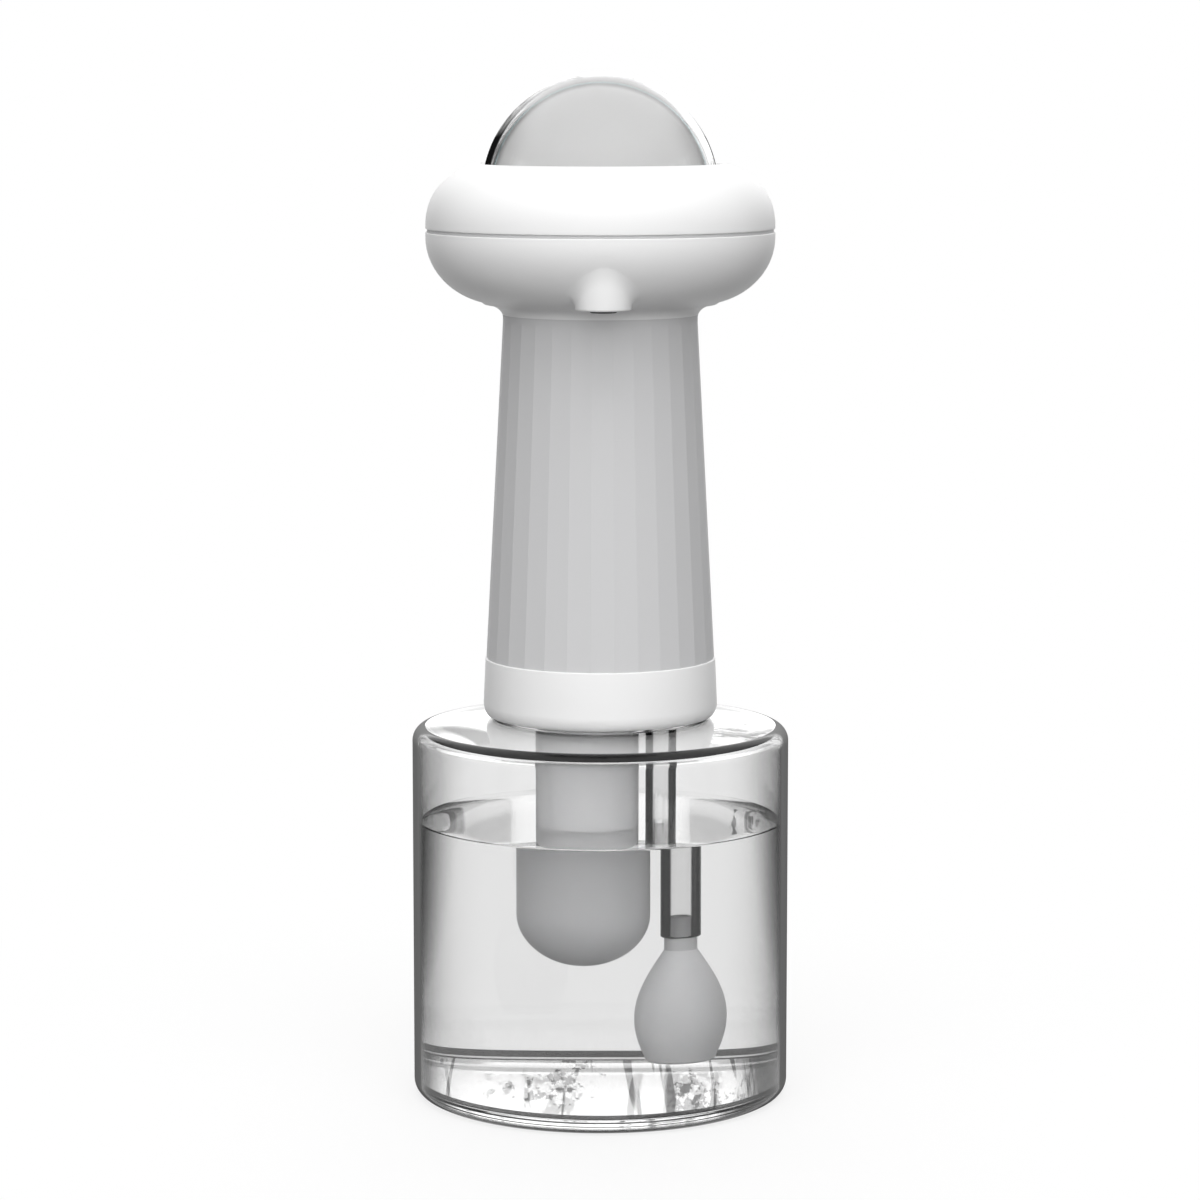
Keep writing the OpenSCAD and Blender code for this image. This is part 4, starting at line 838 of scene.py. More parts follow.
        shade = add_node(tree, "ShaderNodeMapRange",
                         {"From Min": self.leaf_full, "From Max": self.leaf_start, "To Min": 1.0,
                          "To Max": self.leaf_tone},
                         {"Value": both.outputs[0]})
        view = add_node(tree, "ShaderNodeMath", links={0: bars.outputs[0], 1: shade.outputs[0]},
                        operation="MULTIPLY")
        belt = add_node(tree, "ShaderNodeValToRGB", links={0: z})
        stops = belt.color_ramp.elements
        stops[0].position, stops[0].color = self.belt_low, (0, 0, 0, 1)
        stops[1].position, stops[1].color = self.belt_low + self.belt_rise, (1, 1, 1, 1)
        for place, tone in ((self.belt_high, 1), (self.belt_high + self.belt_fall, 0)):
            stops.new(place).color = (tone, tone, tone, 1)
        plain = add_node(tree, "ShaderNodeMix", {6: (1, 1, 1, 1)}, data_type="RGBA")
        tree.links.new(belt.outputs["Color"], plain.inputs[0])
        tree.links.new(view.outputs[0], plain.inputs[7])
        low = add_node(tree, "ShaderNodeMapRange",
                       {"From Min": self.flags_low, "From Max": self.flags_high, "To Min": 1.0, "To Max": 0.0},
                       {"Value": z}, interpolation_type="SMOOTHSTEP")
        flagged = add_node(tree, "ShaderNodeMix", links={0: low.outputs[0]}, data_type="RGBA", blend_type="MULTIPLY")
        tree.links.new(plain.outputs[2], flagged.inputs[6])
        tree.links.new(self._flags(tree, x, y, self.high_flags), flagged.inputs[7])
        return flagged.outputs[2]

    def floor(self) -> None:
        """A wide white floor that keeps a faint shadow near the machine and melts in the room further out.

        To gloss and clear plastic it glows evenly, with the dark flags drawn on it from flags_near outwards.
        """
        half, drop = self.floor_half, -self.floor_drop
        points = np.array([[-half, -half, drop], [half, -half, drop], [half, half, drop], [-half, half, drop]])
        made = new_piece("studio_floor", points, [[0, 1, 2, 3]])
        material, tree, shader = fresh_material("white_floor")
        path, clear = self._clear_rays(tree)
        paint = add_node(tree, "ShaderNodeMix", {6: linear_rgba(self.floor_bounce), 7: linear_rgba(self.floor_seen)},
                         {0: path.outputs["Is Camera Ray"]}, data_type="RGBA")
        tree.links.new(paint.outputs[2], shader.inputs["Base Color"])
        shader.inputs["Roughness"].default_value = 0.9
        place = add_node(tree, "ShaderNodeTexCoord").outputs["Object"]
        far = add_node(tree, "ShaderNodeVectorMath", links={0: place}, operation="LENGTH")
        melt = add_node(tree, "ShaderNodeMapRange",
                        {"From Min": self.shadow_near, "From Max": self.shadow_far, "To Min": self.floor_glow,
                         "To Max": 1.0},
                        {"Value": far.outputs["Value"]}, interpolation_type="SMOOTHSTEP")
        seen = add_node(tree, "ShaderNodeMath", links={0: path.outputs["Is Camera Ray"], 1: melt.outputs[0]},
                        operation="MULTIPLY")
        share = add_node(tree, "ShaderNodeMath", links={0: clear, 1: seen.outputs[0]}, operation="MAXIMUM")
        tone = add_node(tree, "ShaderNodeMapRange", {"To Min": 1.0, "To Max": self.behind_glass}, {"Value": clear})
        spot = add_node(tree, "ShaderNodeSeparateXYZ", links={0: place})
        away = add_node(tree, "ShaderNodeMapRange", {"From Min": self.flags_near, "From Max": self.flags_far},
                        {"Value": far.outputs["Value"]}, interpolation_type="SMOOTHSTEP")
        dark = add_node(tree, "ShaderNodeMath", links={0: clear, 1: away.outputs[0]}, operation="MULTIPLY")
        hue = add_node(tree, "ShaderNodeMix", {6: (1, 1, 1, 1)},
                       {0: dark.outputs[0], 7: self._flags(tree, *spot.outputs[:2], self.low_flags)},
                       data_type="RGBA")
        glow = add_node(tree, "ShaderNodeEmission", links={"Color": hue.outputs[2], "Strength": tone.outputs[0]})
        mixed = add_node(tree, "ShaderNodeMixShader",
                         links={0: share.outputs[0], 1: shader.outputs[0], 2: glow.outputs[0]})
        tree.links.new(mixed.outputs[0], tree.nodes["Material Output"].inputs["Surface"])
        made.data.materials.append(material)

    def build(self) -> None:
        """Builds the whole studio."""
        bpy.context.scene.view_settings.view_transform = "Standard"
        self.camera()
        self.surroundings()
        self.lamp()
        self.floor()


@dataclass
class Tank:
    """The clear tank with its neck thread, the soap solution in it, and the seal on its neck.

    rim_turn and edge_turn are how far outwards a face looks, from 0 to 1, where the wall's painted shade begins and
    where the low edge's painted shade ends.
    """

    wall: float = 1.9
    floor: float = 3.0
    shoulder: float = 2.2
    base_edge: float = 3.3
    top_edge: float = 3.3
    neck_wall: float = 1.6
    neck_height: float = 10.5
    liquid_level: float = 62.0
    liquid_overlap: float = 0.05
    meniscus: float = 0.9
    meniscus_length: float = 1.2
    lip: float = 0.4
    neck_foot: float = 1.0
    outer_ease: float = 0.4
    inner_ease: float = 0.6
    thread_pitch: float = 3.0
    thread_turns: float = 1.5
    thread_height: float = 0.45
    thread_width: float = 1.1
    thread_start: float = 2.2
    thread_root: float = 0.15
    thread_depth: float = 0.2
    thread_fade: float = 0.06
    thread_end_width: float = 0.3
    crown_angle: float = 8.0
    rim_turn: float = 0.16
    edge_turn: float = 0.6
    seal_gap: float = 0.1
    radius: float = field(init=False)
    neck_bore: float = field(init=False)
    neck_top: float = field(init=False)
    top: float = field(init=False)

    def __post_init__(self) -> None:
        """Reads the tank's and the seal's places from the solids."""
        high = corners("tank")[1]
        self.radius = round(float(high[0]), 1)
        self.neck_top = float(high[2])
        self.top = self.neck_top - self.neck_height
        self.neck_bore = round(float(corners("neck_seal")[1][0]), 2) + self.seal_gap - self.neck_wall

    def tank(self) -> bpy.types.Object:
        """The tank's closed wall, turned from one loop: outside up, over the neck, and back down the inside.

        Its top is a cap of a ball, which meets the upper fillet at crown_angle from level. Its outer side and
        fillets are painted with the wall's shade, and the faces that look down or inwards low down with the edge's
        near-black shade.

        Returns:
            The piece.
        """
        inner = self.radius - self.wall
        inner_edge = self.base_edge - self.wall
        outer_neck = self.neck_bore + self.neck_wall
        tilt = math.radians(self.crown_angle)
        ball = (self.radius - self.top_edge * (1 - math.sin(tilt))) / math.sin(tilt)
        middle = self.top - self.top_edge * (1 - math.cos(tilt)) - ball * math.cos(tilt)
        under = ball - self.shoulder

        def crown(radius: float, reach: float) -> float:
            """Height of a ball's cap at a distance from the axis."""
            return middle + math.sqrt(radius ** 2 - reach ** 2)

        def cap(radius: float, start: float, end: float) -> np.ndarray:
            """A ball's cap as an arc between two distances from the axis."""
            a, b = (math.degrees(math.acos(reach / radius)) for reach in (start, end))
            return arc(0, middle, radius, radius, a, b, 12)

        roof_edge = inner - inner_edge * (1 - math.sin(tilt))
        outer_foot, inner_foot = outer_neck + self.neck_foot, self.neck_bore + self.neck_foot
        loop = np.concatenate([
            [[0.0, 0.0]],
            arc(self.radius - self.base_edge, self.base_edge, self.base_edge, self.base_edge, -90, 0),
            arc(self.radius - self.top_edge, self.top - self.top_edge, self.top_edge, self.top_edge, 0,
                90 - self.crown_angle),
            cap(ball, roof_edge, outer_foot)[:-1],
            eased([(outer_foot, crown(ball, outer_foot), 0),
                   (outer_neck, crown(ball, outer_neck), self.outer_ease),
                   (outer_neck, self.neck_top, self.lip), (self.neck_bore, self.neck_top, self.lip),
                   (self.neck_bore, crown(under, self.neck_bore), self.inner_ease),
                   (inner_foot, crown(under, inner_foot), 0)], closed=False),
            cap(under, inner_foot, roof_edge)[1:],
            arc(inner - inner_edge, crown(under, roof_edge) - inner_edge * math.cos(tilt), inner_edge, inner_edge,
                90 - self.crown_angle, 0, 8)[1:],
            arc(inner - inner_edge, self.floor + inner_edge, inner_edge, inner_edge, 0, -90, 8),
            [[0.0, self.floor]]])
        made = dress(lathe("clear_tank", loop, closed=False, steps=256), CLEAR_TANK, "tank", "clear_tank", "tank")
        reach, height, outward = face_places(made)
        outside = reach > self.radius - self.base_edge
        # Painted shade on the outer side and fillets: darker where seen edge-on, with a painted grey matt rim
        repaint(made, TANK_WALL_SHADE, outside & (outward > self.rim_turn))
        # Painted shade: low outer faces that look down, and the inner edge of the tank's floor, are tinted near black
        under_edge_shade = outside & (height < self.base_edge) & (outward > 0) & (outward < self.edge_turn)
        floor_edge_shade = (reach > inner - inner_edge) & (height < self.floor + inner_edge) & (outward < -self.rim_turn)
        repaint(made, TANK_EDGE_SHADE, under_edge_shade | floor_edge_shade)
        return made

    def liquid(self) -> bpy.types.Object:
        """The soap solution: it reaches a little into the wall, so no air gap shows, and climbs it as a meniscus.

        The level is z = level + meniscus exp((r - R) / meniscus_length) near the wall, whose radius is R.

        Returns:
            The piece.
        """
        outer = self.radius - self.wall + self.liquid_overlap
        edge = self.base_edge - self.wall
        low = self.floor - self.liquid_overlap
        r = outer - np.geomspace(0.02, outer, 26) + 0.02
        rise = self.liquid_level + self.meniscus * np.exp((r - outer) / self.meniscus_length)
        surface = np.stack([r, rise], axis=1)
        surface[-1, 0] = 0.0
        loop = np.concatenate([[[0.0, low]], arc(outer - edge, low + edge, edge, edge, -90, 0, 8), surface])
        made = lathe("soap_solution", loop, closed=False, steps=256)
        return dress(made, SOAP_WATER, "tank", "clear_tank")

    def thread(self) -> bpy.types.Object:
        """The neck's screw thread: a rounded ridge carried along a helix, fading in and out at its ends.

        At angle a, its outline is r = R + (root + h s) cos b and z = top - pitch a / turn + w/2 sin b. From its
        ends inwards s rises from 0 to 1, and the width w from a share of itself to the whole.

        Returns:
            The piece.
        """
        steps, sides = 180, 10
        s = np.linspace(0, 1, steps + 1)
        a = s * self.thread_turns * TURN
        fade = np.clip(np.minimum(s, 1 - s) / self.thread_fade, 0, 1)
        fade = fade * fade * (3 - 2 * fade)
        b = np.linspace(-math.pi / 2, math.pi / 2, sides)
        out = self.neck_bore + self.neck_wall - self.thread_root
        radius = out + (self.thread_root + self.thread_height * fade[:, None]) * np.cos(b)
        width = self.thread_width * (self.thread_end_width + (1 - self.thread_end_width) * fade[:, None])
        height = self.neck_top - self.thread_start - self.thread_pitch * a[:, None] / TURN + width / 2 * np.sin(b)
        inner = np.stack([np.full((steps + 1, 2), out - self.thread_depth), height[:, [-1, 0]]], axis=-1)
        ring = np.concatenate([np.stack([radius, height], axis=-1), inner], axis=1)
        points = np.stack([ring[..., 0] * np.cos(a)[:, None], ring[..., 0] * np.sin(a)[:, None], ring[..., 1]], axis=-1)
        around = sides + 2
        faces = grid_faces(steps + 1, around, False, True).tolist()
        faces += [list(range(around)), list(range(steps * around + around - 1, steps * around - 1, -1))]
        return dress(new_piece("neck_thread", points.reshape(-1, 3), faces), CLEAR_TANK, "tank", "clear_tank")

    def seal(self) -> bpy.types.Object:
        """The neck's silicone washer with eased edges.

        Returns:
            The piece.
        """
        low, high = corners("neck_seal")
        outer, inner = float(high[0]), self.neck_bore + self.seal_gap
        loop = eased([(inner, low[2], 0.25), (outer, low[2], 0.25), (outer, high[2], 0.25), (inner, high[2], 0.25)])
        return dress(lathe("neck_washer", loop, steps=128), SILICONE, "seal", "seal_silicone", "neck_seal")

    def build(self) -> None:
        """Builds the tank's pieces."""
        self.tank()
        self.liquid()
        self.thread()
        self.seal()


@dataclass
class SuctionLine:
    """The hanging hose, its fitting, and the drop-shaped filter at its end.

    shoulder_share is how far down the bulb its belly is, and tuck_angle how far its outline has turned in at its foot.
    """

    hose_radius: float = 3.45
    hose_bore: float = 2.0
    lip: float = 0.25
    rings: int = 17
    barb_radius: float = 1.96
    stem_wall: float = 0.8
    stem_foot: float = 2.9
    neck_step: float = 0.64
    shoulder_share: float = 0.61
    tuck_angle: float = 40.0
    foot_edge: float = 0.9
    wall: float = 1.5

    def hose(self) -> bpy.types.Object:
        """The clear hose, straight down from the fitting's flange.


        Returns:
            The piece.
        """
        low, high = corners("suction_hose")
        x, y = centre_of("suction_hose")
        heights = np.linspace(high[2] - self.lip, low[2] + self.lip, self.rings)
        path = np.stack([np.full(self.rings, x), np.full(self.rings, y), heights], axis=1)
        made = swept_tube("suction_hose_piece", path, self.hose_radius, self.hose_bore, 64, self.lip)
        dress(made, CLEAR_SILICONE, "unit", "clear_hose", "suction_hose")
        reach, *_ = face_places(made, (x, y))
        # Painted shade: the outer face turns near black where the wall is seen edge-on, as two bands beside the bore
        repaint(made, HOSE_WALL_SHADE, reach > (self.hose_radius + self.hose_bore) / 2)
        line = path.copy()
        line[0, 2], line[-1, 2] = high[2], low[2]
        return made

    def stem(self) -> bpy.types.Object:
        """The filter's hollow stem, its top rounded where it enters the hose.

        Returns:
            The piece.
        """
        low, high = corners("filter_stem")
        bore = self.barb_radius - self.stem_wall
        collar = float(high[0] - low[0]) / 2
        step = low[2] + self.stem_foot
        loop = eased([(bore, low[2], 0), (collar, low[2], 0), (collar, step, 0.2), (self.barb_radius, step, 0),
                      (self.barb_radius, high[2], 0.45), (bore, high[2], 0.2)])
        return dress(lathe("filter_stem_piece", loop, steps=64, centre=centre_of("filter_stem")), POD_ABS, "unit",
                     "filter_grey", "filter_stem")

    def bulb_outline(self, inset: float) -> np.ndarray:
        """Half outline of the bulb, from its top to its foot.

        Down to the belly r = neck + (belly - neck) sin(90 s); below it r = belly cos(tuck s).

        Args:
            inset: How far inside the outer face.

        Returns:
            Array of (radius, height).
        """
        low, high = corners("filter_bulb")
        belly = float(high[0] - low[0]) / 2 - inset
        neck = self.hose_radius - self.neck_step - inset
        top, foot = high[2] - inset, low[2] + inset
        middle = high[2] - (high[2] - low[2]) * self.shoulder_share
        s = np.linspace(0, 1, 40)
        upper = np.stack([neck + (belly - neck) * np.sin(s * math.pi / 2), top + (middle - top) * s], axis=1)
        edge = max(self.foot_edge - inset / 2, inset / 4)
        lower = np.stack([belly * np.cos(np.radians(self.tuck_angle) * s[1:]),
                          middle + (foot + edge - middle) * s[1:]], axis=1)
        foot_radius = float(lower[-1, 0])
        return np.concatenate([upper, lower, arc(foot_radius - edge, foot + edge, edge, edge, 0, -90, 8)[1:]])

    def bulb(self) -> bpy.types.Object:
        """The hollow sintered bulb.

        Returns:
            The piece.
        """
        low, high = corners("filter_bulb")
        outside, inside = self.bulb_outline(0), self.bulb_outline(self.wall)
        bore = self.barb_radius - self.stem_wall
        loop = np.concatenate([[[0, low[2]]], outside[::-1], [[bore, high[2]], [bore, high[2] - self.wall]], inside,
                               [[0, low[2] + self.wall]]])
        made = lathe("filter_bulb_piece", loop, closed=False, steps=128, centre=centre_of("filter_bulb"))
        return dress(made, SINTERED_PE, "unit", "filter_grey", "filter_bulb")

    def build(self) -> None:
        """Builds the suction line."""
        stem, bulb = self.stem(), self.bulb()
        weight = smooth_copy("filter_weight", STEEL, "unit", "steel", bevel=0)
        self.hose()
        smooth_copy("hose_fitting", ACETAL, "unit", "inner_plastic")


@dataclass
class PodAndCollar:
    """The white collar, the bulkhead, and the grey pod with the cell."""

    collar_bore: float = 24.15
    collar_top: float = 25.6
    flange_bore: float = 21.0
    flange_thickness: float = 1.5
    edge_height: float = 3.0
    edge_depth: float = 1.5
    top_edge: float = 0.25
    pod_radius: float = 11.45
    pod_bore: float = 9.6
    flange_height: float = 2.5
    straight: float = 1.0

    def collar(self) -> bpy.types.Object:
        """The screw collar: a slightly flared band with a soft lower edge.

        Returns:
            The piece.
        """
        low, high = corners("collar_ring")
        # The solid's facets reach the true radius only nearly: to the next 0.05 mm
        foot = round(float(high[0]) * 20) / 20
        z0, z1 = float(low[2]), float(high[2])
        loop = np.concatenate([
            eased([(foot - self.edge_depth, z0, 0), (self.collar_bore, z0, 0)], closed=False)[::-1],
            arc(foot - self.edge_depth, z0 + self.edge_height, self.edge_depth, self.edge_height, -90, 0, 14)[1:],
            arc(self.collar_top - self.top_edge, z1 - self.top_edge, self.top_edge, self.top_edge, 0, 90, 5),
            [[self.flange_bore, z1], [self.flange_bore, z1 - self.flange_thickness],
             [self.collar_bore, z1 - self.flange_thickness]]])
        return dress(lathe("collar_band", loop, steps=256), WHITE_ABS, "unit", "white_shell", "collar_ring")

    def pod(self) -> bpy.types.Object:
        """The pod: a sleeve with a round end, open at its top.

        Returns:
            The piece.
        """
        low, high = corners("battery_pod")
        flange = float(high[0] - low[0]) / 2
        middle = float(low[2]) + self.pod_radius
        floor = float(corners("battery_contacts")[0][2])
        shelf = float(high[2]) - self.flange_height
        loop = np.concatenate([
            arc(0, middle, self.pod_radius, self.pod_radius, -90, 0, 40),
            eased([(self.pod_radius, middle + self.straight, 0), (self.pod_radius, shelf, 0.5), (flange, shelf, 0.3),
                   (flange, high[2], 0.2), (self.pod_bore, high[2], 0), (self.pod_bore, floor, 0),
                   (0, floor, 0)], closed=False)])
        loop[0, 0] = 0.0
        made = lathe("battery_pod_piece", loop, closed=False, steps=160, centre=centre_of("battery_pod"))
        return dress(made, POD_ABS, "unit", "grey_pod", "battery_pod")

    def build(self) -> None:
        """Builds the collar and the pod with what it holds."""
        self.collar()
        self.pod()
        smooth_copy("bulkhead", WHITE_ABS, "unit", "white_shell")
        smooth_copy("pod_o_ring", NITRILE, "unit", "dark_rubber", bevel=0.25)
        smooth_copy("battery_cell", CELL_WRAP, "unit", "cell_wrap", bevel=0.8)
        smooth_copy("battery_contacts", STEEL, "unit", "steel")


@dataclass
class PumpColumn:
    """The faceted grip and the pump, motor, boards and tubes inside it."""

    edge: float = 0.08
    plug_edge: float = 0.3

    def build(self) -> None:
        """Dresses the column and its insides."""
        dress_solid("column_shell", GREY_ABS)
        for node, finish, slot in (
                ("chassis", NYLON, "dark_plastic"), ("chassis_screws", STEEL, "steel"),
                ("pump_motor", STEEL, "steel"), ("pump_housing", ACETAL, "inner_plastic"),
                ("swing_plate", ACETAL, "inner_plastic"), ("pump_diaphragm", NITRILE, "dark_rubber"),
                ("pump_head", ACETAL, "inner_plastic"), ("pump_screws", STEEL, "steel"),
                ("inlet_tube", SILICONE, "seal_silicone"), ("foam_tube", SILICONE, "seal_silicone"),
                ("control_board", BOARD_MASK, "board"), ("charge_socket", STEEL, "steel"),
                ("plug_anchor", SILICONE, "seal_silicone")):
            smooth_copy(node, finish, "unit", slot, bevel=self.edge)
        smooth_copy("motor_shaft", STEEL, "rotor", "steel")
        smooth_copy("eccentric", ACETAL, "rotor", "inner_plastic")
        smooth_copy("port_plug", SILICONE, "port_cover", "seal_silicone", bevel=self.plug_edge)


@dataclass
class Head:
    """The two white shells, the spout blended in the lower one, and the parts between them.

    The bowl is level inside flat_radius and an ellipse outside it. skirt and tail are the spout's blend, grey_band is
    how high the fillet's foot is grey, and grey_turn how far outwards a face of it looks at least, from 0 to 1.
    """

    edge: float = 0.08
    wall: float = 2.0
    flat_radius: float = 22.2
    fillet: float = 3.0
    fillet_reach: float = 4.6
    fillet_end: float = 95.0
    fillet_overlap: float = 0.4
    grey_band: float = 1.4
    grey_slack: float = 0.1
    grey_turn: float = 0.3
    column_radius: float = 21.5
    rim: float = 1.1
    rise: float = 0.9
    column_bore: float = 19.38
    spigot_wall: float = 1.6
    spigot_length: float = 6.0
    spigot_gap: float = 0.1
    rim_edge: float = 0.5
    spout_reach: float = 31.0
    spout_radius: float = 6.0
    spout_bore: float = 4.2
    spout_fillet: float = 2.6
    spout_blend: float = 2.8
    spout_edge: float = 0.5
    skirt_gap: float = 0.15
    skirt_least: float = 0.02
    skirt_cap: float = 5.3
    skirt_wall: float = 0.3
    tail_length: float = 1.2
    tail_sink: float = 0.5
    tail_start: float = 0.12
    tail_lift: float = 0.01
    bore_below: float = 2.0
    bore_above: float = 11.2
    nozzle_bore: float = 1.7
    nozzle_lip: float = 0.5
    nozzle_lip_radius: float = 2.9
    gasket_width: float = 2.05
    key_travel: float = 1.5
    crown_flat: float = 16.0
    crown_power: float = 2.38
    crown_height: float = 15.7
    sleeve_radius: float = 26.5
    sleeve_wall: float = 1.7
    sleeve_rise: float = 5.0
    lip: float = 1.0
    tongue_gap: float = 0.5
    tongue_wall: float = 1.2
    tongue_rise: float = 2.4
    straight: float = 1.0
    rim_rise: float = 0.6
    outside_start: float = 0.7
    inside_start: float = 2.5

    def bowl_height(self, r: np.ndarray) -> np.ndarray:
        """Height of the bowl's outer face: an ellipse from its level ring out to its rim.

        Args:
            r: Distances from the machine's axis.

        Returns:
            Array of heights.
        """
        rx, bottom, middle = self.bowl_axes()
        ratio = np.clip((r - self.flat_radius) / rx, 0, 1)
        return middle - (middle - bottom) * np.sqrt(1 - ratio ** 2)

    def bowl_axes(self) -> tuple[float, float, float]:
        """Measures of the bowl's ellipse.

        Returns:
            Its half width, the height of its bottom, and that of its middle.
        """
        low, high = corners("lower_shell")
        column_top = float(low[2]) + self.spigot_length
        bottom = column_top + self.fillet + self.rise
        return float(high[0]) - self.flat_radius, bottom, float(high[2]) - self.rim

    def bowl(self) -> bpy.types.Object:
        """The bowl's closed wall with its spigot, turned from one loop.

        Returns:
            The piece.
        """
        low, high = corners("lower_shell")
        rx, bottom, middle = self.bowl_axes()
        radius, top = float(high[0]), float(high[2])
        column_top = float(low[2]) + self.spigot_length
        fillet_x = self.column_radius + self.fillet_reach
        start = math.degrees(math.acos((fillet_x + self.fillet_overlap - self.flat_radius) / rx))
        outer = arc(self.flat_radius, middle, rx, middle - bottom, -start, 0, 40)
        inner = arc(self.flat_radius, middle, rx - self.wall, middle - bottom - self.wall, 0, -90, 40)
        bore, spigot = self.column_bore - self.spigot_wall, self.column_bore - self.spigot_gap
        loop = np.concatenate([
            [[self.column_radius, column_top]],
            arc(fillet_x, bottom - self.fillet, self.fillet_reach, self.fillet, 180, self.fillet_end, 14),
            outer, eased([(radius, top - self.rim_edge, 0), (radius, top, 0.2), (radius - self.wall, top, 0.2),
                          (radius - self.wall, top - self.rim_edge, 0)], closed=False),
            inner, [[bore, bottom + self.wall], [bore, low[2]], [spigot, low[2]], [spigot, column_top]]])
        return lathe("lower_shell_piece", loop, steps=320)

    def spout(self) -> bpy.types.Object:
        """The spout's tube with a skirt that flares into the bowl.

        Round the spout, at angle b, the wall rises straight until a hollow blend turns it into the bowl's slope
        there: a quadratic curve whose handle is where wall and bowl meet. It shrinks behind the spout, where the
        wall is too short for it. A short tail then sinks in the bowl's wall, so that the two join to one skin.

        Returns:
            The closed skirt, still to be joined with the bowl.
        """
        bottom = float(corners("nozzle_tip")[0][2]) + self.nozzle_lip
        count, probe = 240, 0.4
        b = np.linspace(0, TURN, count, endpoint=False)
        out = np.stack([np.cos(b), np.sin(b)], axis=1)

        def height_at(reach: np.ndarray) -> np.ndarray:
            """Height of the bowl at distances from the spout's axis, one for every angle."""
            xy = out * reach[:, None] + np.array([0, -self.spout_reach])
            return self.bowl_height(np.hypot(xy[:, 0], xy[:, 1]))

        base = np.full(count, self.spout_radius)
        meet = height_at(base)
        slope = np.arctan((height_at(base + probe) - height_at(base - probe)) / (2 * probe))
        room = np.maximum(meet - bottom - self.skirt_gap, self.skirt_least)
        reach = np.minimum(np.maximum(self.spout_fillet * np.tan((math.pi / 2 - slope) / 2), self.spout_blend), room)
        end = base + reach * np.cos(slope)
        t = np.linspace(0, 1, 15)[:, None]
        x = self.spout_radius + t ** 2 * (end - base)
        z = (1 - t) ** 2 * (meet - reach) + 2 * (1 - t) * t * meet + t ** 2 * height_at(end)
        tail = np.linspace(self.tail_start, 1.0, 5)[:, None]
        far = end + tail * self.tail_length * np.cos(slope)
        bowl_z = np.stack([height_at(row) for row in far])
        x = np.concatenate([x, far])
        z = np.concatenate([z, bowl_z + tail ** 2 * self.tail_sink + self.tail_lift])
        foot = arc(self.spout_radius - self.spout_edge, bottom + self.spout_edge, self.spout_edge, self.spout_edge,
                   -90, 0, 6)
        foot_x = np.concatenate([[self.spout_bore], foot[:, 0]])[:, None] * np.ones(count)
        foot_z = np.concatenate([[bottom], foot[:, 1]])[:, None] * np.ones(count)
        foot_z = np.minimum(foot_z, z[0])
        top = float(corners("lower_shell")[1][2]) - self.skirt_cap
        cap_x = np.array([[self.spout_radius - self.skirt_wall], [self.spout_bore]]) * np.ones(count)
        cap_z = np.array([[top], [top]]) * np.ones(count)
        rows_x = np.concatenate([foot_x, x, cap_x])
        rows_z = np.concatenate([foot_z, z, cap_z])
        points = np.stack([rows_x * out[:, 0], rows_x * out[:, 1] - self.spout_reach, rows_z], axis=-1)
        return new_piece("spout_skirt", points.reshape(-1, 3), grid_faces(len(rows_x), count, True, True))

    def lower_shell(self) -> bpy.types.Object:
        """Bowl and spout joined to one skin, with the spout's bore cut through.

        The photograph's grey ends a little above the column's solid, so the fillet's foot is painted grey.

        Returns:
            The piece.
        """
        made = self.bowl()
        tip = float(corners("nozzle_tip")[0][2])
        foot, head = tip - self.bore_below, tip + self.bore_above
        bore = lathe("spout_bore", np.array([[0, foot], [self.spout_bore, foot], [self.spout_bore, head], [0, head]]),
                     closed=False, steps=64, centre=(0, -self.spout_reach))
        for tool, how in ((self.spout(), "UNION"), (bore, "DIFFERENCE")):
            cut = made.modifiers.new(how.lower(), "BOOLEAN")
            cut.operation, cut.object, cut.solver = how, tool, "EXACT"
            apply_modifiers(made)
            bpy.data.objects.remove(tool)
        tidy_mesh(made.data, sharp=40.0, merge=0.001)
        dress(made, WHITE_ABS, "unit", "white_shell", "lower_shell")
        reach, height, outward = face_places(made)
        column_top = float(corners("lower_shell")[0][2]) + self.spigot_length
        repaint(made, GREY_ABS, (reach > self.column_radius - self.grey_slack) & (outward > self.grey_turn)
                & (height > column_top) & (height < column_top + self.grey_band))
        return made

    def upper_shell(self) -> bpy.types.Object:
        """The domed upper shell with its tongue and the sleeve round the dome.

        Its side is a rounded quarter: r = flat + rx cos(a)^(2/p), z = z0 + h sin(a)^(2/p).

        Returns:
            The piece.
        """
        low, high = corners("upper_shell")
        radius = float(high[0])
        z0 = float(corners("head_gasket")[1][2])
        sleeve_foot = z0 + self.sleeve_rise
        a = np.radians(np.linspace(0, 90, 61))

        def quarter(inset: float) -> np.ndarray:
            """The rounded side, from the rim up, moved in by an inset.

            Args:
                inset: How far inside the outer face.

            Returns:
                Array of (radius, height).
            """
            power = 2 / self.crown_power
            return np.stack([self.crown_flat + (radius - self.crown_flat - inset) * np.cos(a) ** power,
                             z0 + (self.crown_height - inset) * np.sin(a) ** power], axis=1)

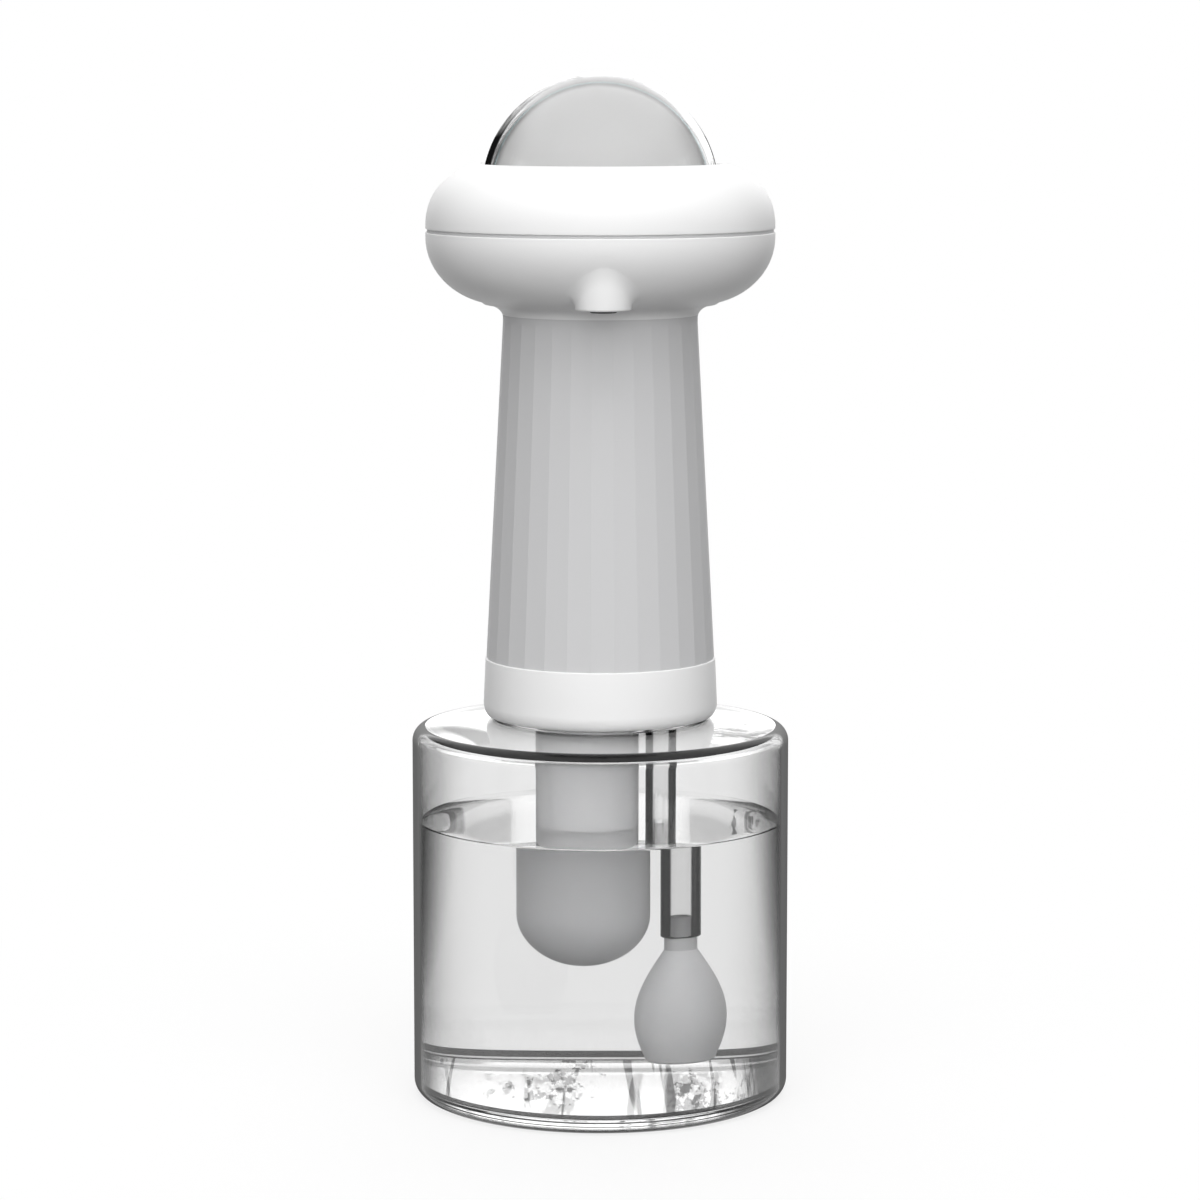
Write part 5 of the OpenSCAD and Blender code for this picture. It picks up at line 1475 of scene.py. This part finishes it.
        outside = quarter(0)
        outside = outside[outside[:, 0] > self.sleeve_radius + self.lip]
        inside = quarter(self.wall)
        outer_sleeve = self.sleeve_radius + self.sleeve_wall
        inside = inside[inside[:, 0] > outer_sleeve]
        lip_z = outside[-1, 1] - self.lip
        tongue = radius - self.wall - self.tongue_gap
        back = tongue - self.tongue_wall
        rim = eased([(back, inside[0, 1] + self.tongue_rise, 0), (back, low[2], 0.15), (tongue, low[2], 0.3),
                     (tongue, z0, 0), (radius, z0, 0.2), (radius, z0 + self.rim_rise, 0)], closed=False)
        loop = np.concatenate([
            rim, outside[outside[:, 1] > z0 + self.outside_start],
            arc(self.sleeve_radius + self.lip, lip_z, self.lip, self.lip, 90, 180, 10),
            eased([(self.sleeve_radius, sleeve_foot + self.straight, 0), (self.sleeve_radius, sleeve_foot, 0.15),
                   (outer_sleeve, sleeve_foot, 0.15), (outer_sleeve, inside[-1, 1], 0)], closed=False),
            inside[inside[:, 1] > z0 + self.inside_start][::-1]])
        return dress(lathe("upper_shell_piece", loop, steps=320), WHITE_ABS, "unit", "white_shell", "upper_shell")

    def nozzle(self) -> bpy.types.Object:
        """The dark nozzle: a sleeve in the spout with a narrower round lip below it.

        Returns:
            The piece.
        """
        low, high = corners("nozzle_tip")
        outer, lip, step = float(high[0] - low[0]) / 2, self.nozzle_lip_radius, low[2] + self.nozzle_lip
        loop = eased([(self.nozzle_bore, low[2], 0.3), (lip, low[2], 0.3), (lip, step, 0), (outer, step, 0.1),
                      (outer, high[2], 0), (self.nozzle_bore, high[2], 0)])
        made = lathe("nozzle_piece", loop, steps=96, centre=centre_of("nozzle_tip"))
        return dress(made, NITRILE, "unit", "dark_rubber", "nozzle_tip")

    def gasket(self) -> bpy.types.Object:
        """The gasket that shows as the fine dark line between the shells.

        Returns:
            The piece.
        """
        low, high = corners("head_gasket")
        outer = float(high[0])
        inner = outer - self.gasket_width
        loop = eased([(inner, low[2], 0), (outer, low[2], 0.12), (outer, high[2], 0.12), (inner, high[2], 0)])
        return dress(lathe("groove_gasket", loop, steps=320), SILICONE, "unit", "seal_silicone", "head_gasket")

    def spring(self) -> bpy.types.Object:
        """The coil spring under the dome, which shortens as the dome is pressed; here it is a smoothed copy of its
        solid with a mesh of its own, and nothing shortens it.

        Returns:
            The piece.
        """
        made = smooth_copy("key_spring", STEEL, "unit", "steel", bevel=0)
        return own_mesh(made)

    def build(self) -> None:
        """Builds the head."""
        self.lower_shell()
        self.upper_shell()
        self.nozzle()
        self.gasket()
        for node, finish, slot in (
                ("foam_cartridge", ACETAL, "inner_plastic"), ("foam_meshes", STEEL, "steel"),
                ("head_frame", NYLON, "dark_plastic"), ("frame_screws", STEEL, "steel"),
                ("key_board", BOARD_MASK, "board"), ("key_switch", NYLON, "dark_plastic"),
                ("lamp_chips", PHOSPHOR, "diffuser")):
            smooth_copy(node, finish, "unit", slot, bevel=self.edge)
        self.spring()


@dataclass
class DomeKey:
    """The clear dome that is pressed, and the frosted dome under it."""

    wall: float = 2.0
    flange: float = 1.5
    cover_radius: float = 26.07
    diffuser_wall: float = 1.4
    straight: float = 1.0

    def cover(self) -> bpy.types.Object:
        """The clear dome: half a sphere on a short skirt with a stop flange. Its outer side gets a painted reflection:
        dark bands and a near-black rim, darkest on its left.

        Returns:
            The piece.
        """
        low, high = corners("dome_cover")
        middle = float(high[2]) - self.cover_radius
        flange_r = float(high[0])
        inner = self.cover_radius - self.wall
        step = float(low[2]) + self.flange
        loop = np.concatenate([
            arc(0, middle, self.cover_radius, self.cover_radius, 90, 0, 60),
            eased([(self.cover_radius, middle - self.straight, 0), (self.cover_radius, step, 0),
                   (flange_r, step, 0.25), (flange_r, low[2], 0.25), (inner, low[2], 0.2),
                   (inner, middle - self.straight, 0)], closed=False),
            arc(0, middle, inner, inner, 0, 90, 60)])
        loop[0, 0] = loop[-1, 0] = 0.0
        made = dress(lathe("dome_cover_piece", loop, closed=False, steps=256), CLEAR_ACRYLIC, "dome_key",
                     "clear_dome", "dome_cover")
        reach, height, _ = face_places(made)
        # Painted reflection: the outer face gets the dark bands and the near-black rim that lean to the left
        repaint(made, DOME_WALL_REFLECTION, np.hypot(reach, height - middle) > self.cover_radius - self.wall / 2)
        return made

    def diffuser(self) -> bpy.types.Object:
        """The frosted inner dome.

        Returns:
            The piece.
        """
        low, high = corners("dome_diffuser")
        outer = round(float(high[0]) * 100) / 100
        middle = float(high[2]) - outer
        inner = outer - self.diffuser_wall
        loop = np.concatenate([arc(0, middle, outer, outer, 90, 0, 48), [[outer, low[2]], [inner, low[2]]],
                               arc(0, middle, inner, inner, 0, 90, 48)])
        loop[0, 0] = loop[-1, 0] = 0.0
        return dress(lathe("dome_diffuser_piece", loop, closed=False, steps=192), OPAL_ACRYLIC_GLOW, "dome_key",
                     "diffuser", "dome_diffuser")

    def build(self) -> None:
        """Builds the dome key."""
        self.cover()
        self.diffuser()
        smooth_copy("key_plate", ACETAL, "dome_key", "inner_plastic")


def main() -> None:
    """Builds the machine in its studio."""
    logging.basicConfig(level=logging.INFO, format="%(name)s: %(message)s")
    for part in (Studio(), Tank(), SuctionLine(), PodAndCollar(), PumpColumn(), Head(), DomeKey()):
        part.build()


if __name__ == "__main__":
    main()
